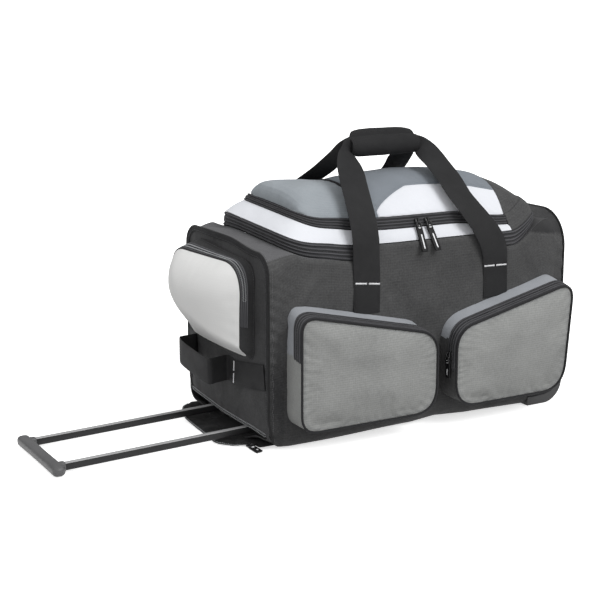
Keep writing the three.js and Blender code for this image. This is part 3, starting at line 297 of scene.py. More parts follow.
def tube(name, path, radius, up=(0, 0, 1), sides=10, closed=False):
    """A round cord along a path; `up` is any direction that the path doesn't take."""
    path = np.asarray(path, float)
    tangent = unit(np.roll(path, -1, 0) - np.roll(path, 1, 0) if closed else np.gradient(path, axis=0))
    side = unit(np.cross(tangent, np.broadcast_to(np.asarray(up, float), path.shape)))
    lift = np.cross(side, tangent)
    angle = np.linspace(0, 2 * math.pi, sides, endpoint=False)
    rings = path[:, None] + radius * (
        np.cos(angle)[None, :, None] * side[:, None] + np.sin(angle)[None, :, None] * lift[:, None]
    )
    return loft(name, rings, closed)


def ribbon(name, middle, half, outward, thick, across):
    """Flat webbing: `half` reaches to one edge and `outward` is the face's normal; its edges are rounded."""
    share = np.linspace(-1, 1, across)
    edge = thick / 2 * np.sqrt(np.maximum(0.12, 1 - np.abs(share) ** 14))
    face = middle[:, None] + half[:, None] * share[None, :, None]
    normal = outward[:, None]
    over = face + normal * edge[None, :, None]
    under = face - normal * edge[None, :, None]
    return loft(name, np.concatenate([over, under[:, ::-1]], axis=1))


def joined(name, pieces):
    """Several pieces made into one."""
    bpy.ops.object.select_all(action="DESELECT")
    for piece in pieces:
        piece.select_set(True)
    bpy.context.view_layer.objects.active = pieces[0]
    bpy.ops.object.join()
    whole = bpy.context.view_layer.objects.active
    whole.name = name
    whole.data.name = name
    return whole


def dress(piece, finish, slot, *nodes, body="bag"):
    """Gives a finished piece its material and its body, and hides the solids that it stands for; `slot` is not used."""
    piece.data.materials.clear()
    piece.data.materials.append(finish)
    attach(piece, body)
    if nodes:
        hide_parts(*nodes)
    return piece


# ---------------------------------------------------------------- materials
def linear(*rgb):
    """A screen tone, from 0 to 255, as a linear colour."""
    return tuple(c / 12.92 if c <= 0.04045 else ((c + 0.055) / 1.055) ** 2.4 for c in (v / 255 for v in rgb)) + (1,)


def add_node(tree, kind, inputs, **settings):
    """Adds a node to a tree; each input is the output of another node or a plain value."""
    node = tree.nodes.new(kind)
    for label, value in settings.items():
        setattr(node, label, value)
    for label, value in inputs.items():
        if isinstance(value, bpy.types.NodeSocket):
            tree.links.new(value, node.inputs[label])
        else:
            node.inputs[label].default_value = value
    return node


class Finish:
    """A material under construction: each method adds nodes and gives an output, or sets the surface."""

    def __init__(self, name, roughness=0.7, metallic=0.0, sheen=0.0, specular=0.5):
        self.material = bpy.data.materials.new(name)
        self.material.use_nodes = True
        self.tree = self.material.node_tree
        self.surface = next(n for n in self.tree.nodes if n.type == "BSDF_PRINCIPLED").inputs
        for label, value in (("Roughness", roughness), ("Metallic", metallic), ("Sheen Weight", sheen),
                             ("Sheen Roughness", 0.6), ("Specular IOR Level", specular)):
            self.surface[label].default_value = value
        self.place = self.tree.nodes.new("ShaderNodeTexCoord").outputs

    def math(self, work, a, b=0.0):
        return add_node(self.tree, "ShaderNodeMath", {0: a, 1: b}, operation=work).outputs[0]

    def mix(self, a, share_a, b, share_b):
        return self.math("ADD", self.math("MULTIPLY", a, share_a), self.math("MULTIPLY", b, share_b))

    def yarns(self, direction, pitch):
        inputs = {"Scale": math.pi / 10 / pitch, "Vector": self.place["UV"]}
        return add_node(self.tree, "ShaderNodeTexWave", inputs, bands_direction=direction).outputs["Fac"]

    def mottle(self, size, detail=2.0):
        inputs = {"Scale": 1 / size, "Detail": detail, "Vector": self.place["Object"]}
        return add_node(self.tree, "ShaderNodeTexNoise", inputs).outputs["Fac"]

    def colour(self, share, low, high):
        ramp = add_node(self.tree, "ShaderNodeValToRGB", {"Fac": share})
        for element, tone in zip(ramp.color_ramp.elements, (low, high)):
            element.color = linear(*tone)
        self.tree.links.new(ramp.outputs["Color"], self.surface["Base Color"])

    def rough(self, share, low, high):
        span = add_node(self.tree, "ShaderNodeMapRange", {"To Min": low, "To Max": high, "Value": share})
        self.tree.links.new(span.outputs["Result"], self.surface["Roughness"])

    def raised(self, height, strength, distance, under=None):
        """Relief in the shading; `under` is the wider relief that it lies on. Gives back its normal."""
        inputs = {"Strength": strength, "Distance": distance, "Height": height}
        if under:
            inputs["Normal"] = under
        normal = add_node(self.tree, "ShaderNodeBump", inputs).outputs["Normal"]
        self.tree.links.new(normal, self.surface["Normal"])
        return normal

    def creases(self, size):
        """Thin ridges that wander over soft swells, as packed cloth shows."""
        off_middle = self.math("ABSOLUTE", self.math("SUBTRACT", self.mottle(size, 1.5), 0.5))
        away = self.math("MINIMUM", self.math("MULTIPLY", off_middle, 6.0), 1.0)
        ridges = self.math("POWER", self.math("SUBTRACT", 1.0, away), 1.6)
        return self.math("ADD", self.math("MULTIPLY", ridges, 0.16), self.mottle(0.55 * size, 1.0))


def woven(name, low, high, yarn=0.0013, grid=0.0, grid_share=0.25, sheen=0.04, bump=0.35, speckle=0.25, shade="",
          crease=0.0):
    """Plain-woven cloth.

    `grid` adds ripstop's heavier yarns at that pitch, and `grid_share` is how much they lighten it. `speckle` is how
    uneven its yarns are, `shade` names an attribute of painted shade that darkens the cloth, and `crease` is the depth
    of the wrinkles in its shading.
    """
    made = Finish(name, sheen=sheen, specular=0.2)
    warp = made.yarns("X", yarn)
    weft = made.yarns("Y", yarn)
    height = made.math("MULTIPLY", made.math("ADD", warp, weft), 0.3)
    tone = made.mix(made.mottle(0.09, 3), 0.55, height, 0.35)
    tone = made.math("ADD", tone, made.math("MULTIPLY", made.mottle(0.0034, 2), speckle))
    if grid:
        lines = made.math(
            "MAXIMUM",
            made.math("MULTIPLY", made.math("POWER", made.yarns("X", grid), 8.0), 0.55),
            made.math("POWER", made.yarns("Y", grid), 6.0),
        )
        tone = made.math("ADD", tone, made.math("MULTIPLY", lines, grid_share))
        height = made.math("ADD", height, made.math("MULTIPLY", lines, 0.6))
    tone = made.math("SUBTRACT", tone, 0.5 * speckle - 0.02)
    # painted shade: the named attribute darkens the cloth's colour
    if shade:
        drawn = add_node(made.tree, "ShaderNodeAttribute", {}, attribute_name=shade)
        tone = made.math("SUBTRACT", tone, made.math("MULTIPLY", drawn.outputs["Fac"], 0.6))
    made.colour(tone, low, high)
    made.rough(made.mottle(0.03), 0.72, 0.9)
    wrinkles = made.raised(made.creases(0.085), 1.0, crease) if crease else None
    made.raised(height, bump, 0.0004, wrinkles)
    return made.material


def ribbed(name, low, high):
    """Webbing with ribs across its length."""
    made = Finish(name, specular=0.16)
    ribs = made.yarns("X", 0.0021)
    threads = made.yarns("Y", 0.0012)
    height = made.mix(ribs, 0.7, threads, 0.3)
    made.colour(made.mix(height, 0.45, made.mottle(0.05, 3), 0.5), low, high)
    made.rough(made.mottle(0.02), 0.6, 0.8)
    made.raised(height, 0.5, 0.0004)
    return made.material


def zip_tape(name, low, high):
    """Zip tape 24 mm wide: four raised cords run along it, over fine ribs; its tone follows the relief, so the cords
    carry painted highlights.
    """
    made = Finish(name, specular=0.16)
    cords = made.math("POWER", made.yarns("Y", 0.006), 3.0)
    ribs = made.yarns("X", 0.0016)
    height = made.mix(ribs, 0.4, cords, 0.6)
    # painted highlight: the tone follows the height, so the raised cords are lighter
    tone = made.mix(height, 0.8, made.mottle(0.03, 3), 0.25)
    made.colour(made.math("SUBTRACT", tone, 0.14), low, high)
    made.rough(made.mottle(0.02), 0.6, 0.8)
    made.raised(height, 0.5, 0.0005)
    return made.material


def solid(name, low, high, rough, grain=0.004, bump=0.12, metallic=0.0, specular=0.5):
    """Moulded, painted or metal surfaces with a fine grain and slight tone changes."""
    made = Finish(name, metallic=metallic, specular=specular)
    fine = made.mottle(grain, 2)
    made.colour(made.mottle(0.05, 4), low, high)
    made.rough(fine, *rough)
    made.raised(fine, bump, 0.0003)
    return made.material


# the charcoal cloth takes painted shade from a point attribute
CHARCOAL = woven("charcoal_cloth", (46, 46, 47), (90, 90, 90),
                 grid=0.0052, grid_share=0.14, speckle=0.7, shade="painted_shade", crease=0.007)
# painted light: a lighter copy of the charcoal cloth for the left shelf, which lies in the lid's shadow
LIT_SHELF_CLOTH = woven("charcoal_painted_light_shelf_cloth", (70, 70, 72), (112, 112, 114),
                    grid=0.0052, grid_share=0.12, speckle=0.6)
# painted shade: a darker copy of the charcoal cloth, for the bag's ends and the right shelf, which get less light
SHADOW_CLOTH = woven("charcoal_painted_shade_cloth", (38, 38, 39), (76, 76, 77),
                     grid=0.0052, grid_share=0.12, speckle=0.6, crease=0.006)
# painted shade: an even darker copy of the charcoal cloth, for the end pocket's gusset, set back under its face
DEEP_CLOTH = woven("charcoal_gusset_painted_shade_cloth", (28, 28, 29), (58, 58, 59), speckle=0.5)
RIPSTOP = woven("grey_ripstop", (114, 115, 114), (164, 165, 163),
                grid=0.0044, grid_share=0.22, bump=0.4, speckle=0.5, crease=0.0035)
CAP_GREY = woven("cap_grey_ripstop", (124, 130, 135), (164, 170, 175),
                 grid=0.0046, grid_share=0.2, crease=0.005)
CROWN_GREY = woven("crown_grey_ripstop", (98, 104, 110), (138, 144, 151),
                   grid=0.0046, grid_share=0.2, crease=0.005)
WHITE = woven("white_cloth", (206, 208, 213), (230, 232, 237), bump=0.3)
PALE = woven("pale_cloth", (213, 213, 212), (229, 229, 228), grid=0.005, grid_share=0.06, bump=0.15)
GUSSET = woven("gusset_cloth", (126, 129, 134), (166, 169, 174), grid=0.0034, grid_share=0.4, bump=0.6)
BLACK_CLOTH = woven("black_cloth", (20, 20, 21), (36, 36, 37))
WEB = ribbed("webbing", (24, 24, 25), (50, 50, 51))
TAPE = zip_tape("zip_tape", (30, 30, 32), (104, 104, 107))
COIL = solid("zip_coil", (28, 28, 30), (60, 60, 62), (0.3, 0.5), bump=0.05)
# painted highlight: a pale coil tone, laid in thin lines where a zip catches light
HIGHLIGHT_COIL = solid("zip_coil_painted_highlight", (120, 122, 124), (176, 178, 180), (0.3, 0.5), bump=0.05)
WRAP = woven("grip_wrap_cloth", (26, 26, 27), (44, 44, 45), yarn=0.0016, sheen=0.0)
PIPING = woven("piping_cloth", (24, 24, 26), (42, 42, 44), yarn=0.0011)
CORD = woven("cord_cloth", (18, 18, 19), (36, 36, 37), yarn=0.0011)
DARK_THREAD = solid("dark_thread", (48, 48, 50), (86, 86, 88), (0.6, 0.8), grain=0.002)
SEAM_THREAD = solid("seam_thread", (84, 84, 85), (112, 112, 113), (0.6, 0.8), grain=0.002)
BLACK_THREAD = solid("black_thread", (24, 24, 25), (40, 40, 42), (0.6, 0.8), grain=0.002)
WHITE_THREAD = solid("white_thread", (214, 214, 216), (244, 244, 246), (0.6, 0.8), grain=0.002)
GREY_THREAD = solid("grey_thread", (120, 124, 128), (160, 164, 168), (0.6, 0.8), grain=0.002)
RUBBER_PULL = solid("pull_rubber", (12, 12, 13), (24, 24, 25), (0.5, 0.65), specular=0.2)
PALE_INSERT = solid("pull_insert", (196, 198, 200), (232, 233, 234), (0.3, 0.45), bump=0.04)
SLIDER = solid("slider_metal", (16, 16, 17), (34, 34, 36), (0.3, 0.45), metallic=0.3)
TUBE = solid("painted_tube", (28, 28, 29), (42, 42, 43), (0.35, 0.45),
             grain=0.002, bump=0.03, specular=0.25)
# painted highlight: a light tone for the rods' upward faces
PAINTED_HIGHLIGHT_TUBE = solid("tube_painted_highlight", (140, 140, 141), (168, 168, 169), (0.3, 0.4),
                    grain=0.002, bump=0.03)
MOULDED = solid("moulded_grip", (70, 70, 71), (94, 94, 95), (0.4, 0.55),
                grain=0.0016, bump=0.15, specular=0.4)
PLASTIC = solid("chassis_plastic", (28, 28, 29), (42, 42, 43), (0.42, 0.55), grain=0.0014, bump=0.2)
RUBBER = solid("tyre_rubber", (34, 34, 35), (52, 52, 53), (0.6, 0.75), grain=0.003)
STEEL = solid("axle_steel", (150, 150, 152), (190, 190, 192), (0.25, 0.35), metallic=1.0, bump=0.03)


# ---------------------------------------------------------------- stitches and zip teeth, by Geometry Nodes
def row_tree(name, finish, sizes):
    """A node tree that sets small rounded beads along lines: stitches, or the turns of a zip coil."""
    tree = bpy.data.node_groups.new(name, "GeometryNodeTree")
    tree.interface.new_socket("Lines", in_out="INPUT", socket_type="NodeSocketGeometry")
    sockets = {}
    for label, value in sizes.items():
        sockets[label] = tree.interface.new_socket(label, in_out="INPUT", socket_type="NodeSocketFloat")
        sockets[label].default_value = value
    tree.interface.new_socket("Beads", in_out="OUTPUT", socket_type="NodeSocketGeometry")
    given = tree.nodes.new("NodeGroupInput").outputs

    def step(kind, inputs, **settings):
        return add_node(tree, kind, inputs, **settings).outputs[0]

    curve = step("GeometryNodeMeshToCurve", {"Mesh": given["Lines"]})
    even = step("GeometryNodeResampleCurve", {"Curve": curve, "Length": given["Pitch"]}, mode="LENGTH")
    tangent = step("GeometryNodeInputTangent", {})
    normal = step("GeometryNodeInputNamedAttribute", {"Name": "facing"}, data_type="FLOAT_VECTOR")
    align = "FunctionNodeAlignRotationToVector"
    along = step(align, {"Vector": tangent}, axis="X")
    turned = step(align, {"Rotation": along, "Vector": normal}, axis="Z", pivot_axis="X")
    bead = step("GeometryNodeMeshUVSphere", {"Segments": 6, "Rings": 4, "Radius": 0.5})
    size = step("ShaderNodeCombineXYZ", {axis: given[label] for axis, label in zip("XYZ", sizes)})
    odd = step("ShaderNodeMath", {0: step("GeometryNodeInputIndex", {}), 1: 2.0}, operation="MODULO")
    swing = step("ShaderNodeMath", {0: odd, 1: 0.5}, operation="SUBTRACT")
    reach = step("ShaderNodeMath", {0: swing, 1: given["Stagger"]}, operation="MULTIPLY")
    sideways = step("ShaderNodeVectorMath", {0: tangent, 1: normal}, operation="CROSS_PRODUCT")
    shift = step("ShaderNodeVectorMath", {0: sideways, "Scale": reach}, operation="SCALE")
    noted = step("GeometryNodeStoreNamedAttribute", {"Geometry": even, "Name": "swing", "Value": shift},
                 data_type="FLOAT_VECTOR", domain="POINT")
    beads = step("GeometryNodeInstanceOnPoints", {"Points": noted, "Instance": bead, "Rotation": turned, "Scale": size})
    swung = step("GeometryNodeInputNamedAttribute", {"Name": "swing"}, data_type="FLOAT_VECTOR")
    spread = step("GeometryNodeTranslateInstances", {"Instances": beads, "Translation": swung, "Local Space": False})
    real = step("GeometryNodeRealizeInstances", {"Geometry": spread})
    painted = step("GeometryNodeSetMaterial", {"Geometry": real, "Material": finish})
    add_node(tree, "NodeGroupOutput", {"Beads": painted})
    return tree, {label: socket.identifier for label, socket in sockets.items()}


ROWS = {}


def lay_row(kind, path, facing, lift=0.0, closed=False):
    """Notes a line that beads of this kind are set along, `lift` mm above the cloth."""
    path = np.asarray(path, float)
    facing = np.broadcast_to(np.asarray(facing, float), path.shape)
    path = path + unit(facing) * lift
    if closed:
        path = np.concatenate([path, path[:1]])
        facing = np.concatenate([facing, facing[:1]])
    ROWS.setdefault(kind, []).append((path, unit(facing)))


def make_rows(kind, finish, slot, *sizes):
    """All the lines of one kind, turned into one mesh of beads of these sizes."""
    points, facing, edges = [], [], []
    for path, normal in ROWS[kind]:
        edges += [(len(points) + k, len(points) + k + 1) for k in range(len(path) - 1)]
        points += (path * MM).tolist()
        facing += normal.tolist()
    mesh = bpy.data.meshes.new(kind)
    mesh.from_pydata(points, edges, [])
    mesh.attributes.new("facing", "FLOAT_VECTOR", "POINT").data.foreach_set("vector", np.ravel(facing))
    piece = bpy.data.objects.new(kind, mesh)
    scene.collection.objects.link(piece)
    labels = "Bead length", "Bead width", "Bead height", "Pitch", "Stagger"
    sizes = {label: value * MM for label, value in zip(labels, sizes)}
    tree, sockets = row_tree(kind + "_tree", finish, sizes)
    modifier = piece.modifiers.new("beads", "NODES")
    modifier.node_group = tree
    for label, value in sizes.items():
        modifier[sockets[label]] = value
    ready = bpy.context.evaluated_depsgraph_get()
    beads = bpy.data.meshes.new_from_object(piece.evaluated_get(ready), depsgraph=ready)
    piece.modifiers.clear()
    piece.data = beads
    beads.polygons.foreach_set("use_smooth", [True] * len(beads.polygons))
    dress(piece, finish, slot)


def at_share(skin, share):
    """A line along the rows of a skin, at a share of its columns."""
    place = share * (skin.shape[1] - 1)
    k = min(int(place), skin.shape[1] - 2)
    return lerp(skin[:, k], skin[:, k + 1], place - k)


# ---------------------------------------------------------------- the bag's outline
def half_depth(x):
    """From the bag's middle plane to its front or back."""
    return BODY_HALF + 2 * np.cos(np.pi * np.asarray(x, float) / (BODY_RIGHT - BODY_LEFT))


def narrowing(x, z):
    """How much the right end's upper part is drawn in from the plain depth."""
    return 8.5 * ease(x, 210, 341) * ease(z, 90, 220)


def top_at(x):
    """Height of the bag's upper edge."""
    return lerp(384.0, 399.0, ease(x, BODY_LEFT, BODY_RIGHT))


def left_sag(y):
    """How much the left end's top edge sags towards the front corner."""
    return 12.0 * ease(-np.asarray(y, float), 0, 130)


def hem_at(x):
    """Rounding of the body's lower edge."""
    return lerp(42.0, 27.0, ease(np.abs(np.asarray(x, float) - 40), 60, 280))


def length_share(level, x):
    """How far x is from a ring's middle, as a share of half its length."""
    return np.minimum(1, np.abs(2 * x - level["left"] - level["right"]) / (level["right"] - level["left"]))


def level_height(level, x, y=0.0):
    """A ring's height: it climbs to the left end, tips up towards the back there, and dips before the right end."""
    x, y = np.asarray(x, float), np.asarray(y, float)
    share = length_share(level, x)
    tipped = 0.06 * np.minimum(y, level["tip"]) * ease(share, 0.72, 1.0)
    left = (level["left_end"] - level["middle"]) * share**4 + tipped
    right = level["dip"] * ease(x, 60, 205)
    right = right + (level["right_end"] - level["middle"] - level["dip"]) * ease(x, 203, level["right"])
    return level["middle"] + np.where(2 * x < level["left"] + level["right"], left, right)


def end_share(x, lead):
    """From 0 at the lid to 1 at the end of the bag, beginning `lead` mm before the lid's foot ends."""
    foot = np.where(x < 0, -FOOT["left"], FOOT["right"])
    return ease(np.abs(x), foot - lead, np.where(x < 0, -BODY_LEFT, BODY_RIGHT))


def round_at(x):
    """Rounding of the body's upper edge."""
    x = np.asarray(x, float)
    return lerp(14.0, np.where(x < 0, 42.0, 74.0), end_share(x, 20))


def rim_at(x, sign):
    """Height of the front or back cloth's upper edge, halfway round its rounding."""
    x = np.asarray(x, float)
    top = top_at(x) - np.where((x < 0) & (np.asarray(sign) < 0), left_sag(-170), 0)
    slope = top - (1 - SLANT) * round_at(x)
    beside = lerp(level_height(FOOT, x, sign * FOOT["half"]), slope, end_share(x, 10))
    return np.where((x > STRAP_LEFT) & (x < STRAP_RIGHT), level_height(BAND, x), beside) - 0.3


def end_panel_x(side, y, z):
    """Where the dished cloth of an end lies."""
    bulge, end = (16.0, BODY_LEFT) if side < 0 else (7.0, BODY_RIGHT)
    across = np.maximum(0, 1 - np.abs(y / BODY_HALF) ** 2.4)
    up = np.maximum(0, 1 - np.abs((2 * z - 381.0) / 381.0) ** 2.4)
    return end + side * bulge * across * up


def ring_plan(level, turn):
    """A ring's plan at a turn from 0 to 4, one for each side of a square, from the front right corner leftwards."""
    turn = np.mod(turn, 4)
    side = np.minimum(3, np.floor(turn)).astype(int)
    share = 2 * (turn - side) - 1
    one = np.ones_like(share)
    sx = np.select([side == 0, side == 1, side == 2], [-share, -one, share], one)
    sy = np.select([side == 0, side == 1, side == 2], [-one, share, one], -share)
    fit = (np.abs(sx) ** RING_POWER + np.abs(sy) ** RING_POWER) ** (-1 / RING_POWER)
    middle, half = (level["left"] + level["right"]) / 2, (level["right"] - level["left"]) / 2
    return middle + half * sx * fit, level["half"] * sy * fit


def ring_turn(level, x, back):
    """The turn at which a ring passes x on its front or back side."""
    middle, half = (level["left"] + level["right"]) / 2, (level["right"] - level["left"]) / 2
    share = (x - middle) / half
    power = abs(share) ** RING_POWER
    sx = math.copysign((power / (1 - power)) ** (1 / RING_POWER), share)
    return 2 + (1 + sx) / 2 if back else (1 - sx) / 2


def ring_points(level, turn):
    x, y = ring_plan(level, turn)
    return np.stack([x, y, level_height(level, x, y)], -1)


def lid_skin(start, end, low, high, rows, cols):
    """The lid's side between two places on its rings; start and end are (x, is it at the back)."""
    t = np.linspace(0, 1, rows)
    past_corner = 4 if start[1] and not end[1] else 0
    rings = []
    for level in LEVELS:
        a, b = ring_turn(level, *start), ring_turn(level, *end) + past_corner
        rings.append(ring_points(level, lerp(a, b, t)))
    skin = np.zeros((rows, cols, 3))
    for k, v in enumerate(np.linspace(low, high, cols)):
        base = min(2, int(v))
        skin[:, k] = lerp(rings[base], rings[base + 1], v - base)
    return skin


# ---------------------------------------------------------------- the body
def body_panel():
    """Front, base and back in one trough of slack, gathered cloth; gives its edges over the wheels."""
    x = np.concatenate([np.linspace(BODY_LEFT, HOUSING_LEFT, 176), np.linspace(HOUSING_LEFT, BODY_RIGHT, 27)[1:]])
    depth, hem, corner = half_depth(x), hem_at(x), round_at(x)
    # height of the cut over the wheel's housing, then how far the lower edge is off the floor
    low_cut = np.interp(x, [-350, 255, 266, 280, 297, 315, 328, 336, 341], [20, 20, 19, 20, 21, 26, 36, 46, 58])
    lift = np.interp(x, [-350, -337, -322, -300, -20, 37, 111, 341], [20, 14, 2, 0, 0, 5, 0, 0])
    inner = np.minimum(HOUSING_INNER, depth - hem - 2)
    rows = [("arc", a) for a in np.linspace(math.pi / 4, 0, 7)[:-1]]
    rows += [("upper", t) for t in np.linspace(0, 1, 75)[:-1]]
    rows += [("lower", t) for t in np.linspace(0, 1, 11)[:-1]]
    rows += [("base", t) for t in np.linspace(0, 1, 9)]
    sides = []
    for sign in (-1, 1):
        rim = rim_at(x, sign)
        shoulder = rim - SLANT * corner
        wall, arc = shoulder - hem, hem * math.pi / 2
        cut = np.where(low_cut >= hem, shoulder - low_cut, wall + hem * np.arcsin(np.clip(1 - low_cut / hem, 0, 1)))
        base = wall + arc + depth - hem - inner
        y_rows, z_rows = [], []
        for kind, t in rows:
            if kind == "arc":
                y_rows.append(depth - corner * (1 - math.cos(t)))
                z_rows.append(shoulder + corner * math.sin(t))
                continue
            run = {"upper": cut * t, "lower": lerp(cut, base, t), "base": base + inner * t}[kind]
            angle = np.clip((run - wall) / hem, 0, math.pi / 2)
            past = np.maximum(0, run - wall - arc)
            y_rows.append(np.where(run < wall, depth, depth - hem * (1 - np.cos(angle)) - past))
            z_rows.append(np.where(run < wall, shoulder - run, hem - hem * np.sin(angle)))
        y, z = np.array(y_rows).T, np.array(z_rows).T
        x_all = np.broadcast_to(x[:, None], y.shape)
        share = np.clip((rim[:, None] - z) / (rim - hem)[:, None], 0, 1)
        out = folds(x_all, z, sign, share)
        raised = z + lift[:, None] * ease(100 - z, 0, 90) * ease(np.abs(y), 60, 130)
        over_well = 0.9 * ease(x_all, 246, 256) * ease(76 - z, 0, 8)
        out = (out + over_well) * ease(y, 100, 165) - narrowing(x_all, z) * ease(y, 60, 120)
        sides.append(np.stack([x_all, sign * (y + out), raised], -1))
    skin = np.concatenate([sides[0], sides[1][:, -2::-1]], axis=1)
    lower = np.array([kind == "lower" for kind, _ in rows])
    lower_cells = np.concatenate([lower[:-1], lower[:-1][::-1]])
    at_wheel = x >= HOUSING_LEFT
    piece = shell("body_cloth", skin, CLOTH, keep=~(at_wheel[:-1, None] & lower_cells[None, :]))
    edge_row = [kind for kind, _ in rows].index("lower")
    for part in sides:
        facing = (0, part[0, 0, 1], 0)
        lay_row("seam_stitches", part[2, 4:-14], facing, 0.3)
        lay_row("dark_stitches", part[at_wheel, edge_row - 3], facing, 0.2)
    place = np.array([vertex.co for vertex in piece.data.vertices]) / MM
    # painted shade: the right shoulder above its seam is darkened, and so is the low front left of the left pocket,
    # where that pocket's shadow falls
    painted_shade = ease(place[:, 0], 214, 236) * ease(place[:, 2] - shoulder_seam(place[:, 0]), -2, 3)
    painted_shade += 0.6 * ease(-place[:, 0], 314, 326) * ease(190 - place[:, 2], 0, 80)
    piece.data.attributes.new("painted_shade", "FLOAT", "POINT").data.foreach_set("value", painted_shade)
    dress(piece, CHARCOAL, "charcoal_cloth", "body_panel")
    return [part[at_wheel, edge_row] for part in sides]


def shoulder_seam(x):
    """Height of the seam on the right shoulder; the cloth above it is darkened with painted shade."""
    return np.interp(x, [215, 254, 292, 341], [372, 365, 359, 352])


def folds(x, z, sign, share):
    """How far the front or back cloth stands out from its plain form, in mm."""
    points = np.stack([x, np.full_like(x, 40.0 * sign), z], -1)
    free = np.sin(np.pi * np.clip(share, 0, 1)) ** 0.6
    swell = 2.2 * relief(points, 110, 3) + 1.8 * relief(points, 46, 5) + 0.7 * relief(points, 19, 6)
    left = np.exp(-(x - BODY_LEFT) / 24)
    right = np.exp(-(BODY_RIGHT - x) / 22)
    wander = 9 * relief(points, 60, 8)
    pucker = 3.2 * np.sin((z + wander + 0.6 * (x - BODY_LEFT)) / 3.4) * left * np.minimum(1, (x - BODY_LEFT) / 5)
    pucker += 1.1 * np.sin((z + wander - 0.4 * (BODY_RIGHT - x)) / 4.6) * right
    gather = 0
    for at, depth, half in ((-328, 3.0, 13), (-300, 2.4, 14), (318, 2.4, 14)):
        lean = 0.05 * (z - 200) + 3 * relief(points, 50, 11)
        gather = gather + depth * np.maximum(0, 1 - np.abs(x - at - lean) / half) ** 1.5 * np.sin(np.pi * share)
    drape = 0
    for at, slope, level, width, low, high, rise in (
        (-300, 0.55, 250, 10, 200, 345, 2.8), (-318, -0.4, 120, 9, 40, 200, 2.4), (-268, 1.1, 300, 12, 240, 350, 2.2),
        (-322, 0.9, 232, 8, 190, 290, 2.4), (-60, 0.5, 300, 16, 230, 350, 1.6), (262, -0.7, 300, 12, 240, 350, 2.0),
        (300, 0.4, 60, 12, 20, 110, 2.2),
    ):
        across = x - at - slope * (z - level)
        drape = drape + rise * ridge(across, 0, width) * ease(z, low, low + 45) * ease(high - z, 0, 45)
    seam = shoulder_seam(x)
    sewn = 1.5 * ridge(z, seam, 2.0) * ease(x, 222, 250) - 0.9 * ridge(z, seam - 6, 3.5) * ease(x, 222, 250)
    return (swell + pucker + drape) * free - gather - sewn


def lip_height(y):
    """Height of the left end's lower edge, over the handle bay."""
    return np.interp(y, [-166, -113, -60, 13, 80, 155], [27, 31.5, 32.2, 34, 39.5, 42])


def end_name(side):
    return "left" if side < 0 else "right"


def end_panel(side):
    """One end of the bag, dished out by what is packed in it."""
    end = BODY_LEFT if side < 0 else BODY_RIGHT
    corner = float(round_at(end)) - 3.0
    half = float(half_depth(end)) - 3.0
    top = float(top_at(end)) - 3.0
    foot = 35.0 if side < 0 else 2.6
    z = np.concatenate([np.linspace(foot, HOUSING_TOP, 14), np.linspace(HOUSING_TOP, top, 100)[1:]])
    past = np.clip(z - (top - corner), 0, corner)
    width = half - (corner - np.sqrt(np.maximum(0, corner**2 - past**2)))
    inner = HOUSING_INNER / width
    outer = inner + (1 - inner) * np.linspace(1, 0, 12)[:, None]
    share = np.concatenate([-outer, np.linspace(-1, 1, 81)[1:-1, None] * inner, outer[::-1]]).T
    y = share * width[:, None]
    z = np.broadcast_to(z[:, None], y.shape)
    if side < 0:
        z = z + (lip_height(y) - foot) * np.clip((110 - z) / 75, 0, 1) - left_sag(y) * ease(z, 250, 381)
    else:
        y = y * (1 - narrowing(end, z) / half)
    points = np.stack([np.full_like(y, end), y, z], -1)
    edge = np.clip(1 - np.maximum(np.abs(share), np.abs(2 * z - top - foot) / (top - foot)), 0, 1)
    out = (2.0 * relief(points, 80, 21) + 1.3 * relief(points, 34, 23)) * np.minimum(1, edge * 8)
    out += 1.0 * np.sin((z + 7 * relief(points, 50, 24)) / 4.3) * np.exp(-edge * half / 16) * np.minimum(1, edge * 30)
    if side < 0:
        out -= 1.5 * ridge(z, 152 - 0.02 * y, 2.2) * ease(np.abs(y), 60, 90)
    x = end_panel_x(side, y, z) + side * out
    skin = np.stack([x, y, z], -1)
    keep = None
    if side > 0:
        housed = (np.abs(y) > HOUSING_INNER - 0.2) & (z < HOUSING_TOP - 0.6)
        keep = ~(housed[:-1, :-1] & housed[:-1, 1:])
    piece = shell("end_cloth_" + end_name(side), skin, CLOTH, keep=keep)
    normal = (side, 0, 0)
    first = 4 if side < 0 else 16
    rim = np.concatenate([skin[first:, 2], skin[-2, 3:-3], skin[first:, -3][::-1]])
    lay_row("dark_stitches", rim, normal, 0.3)
    if side < 0:
        lay_row("dark_stitches", skin[2, 4:-4], normal, 0.3)
    # painted shade: the ends take the darker copy of the charcoal cloth
    dress(piece, SHADOW_CLOTH, "charcoal_cloth", "end_panel_" + end_name(side))


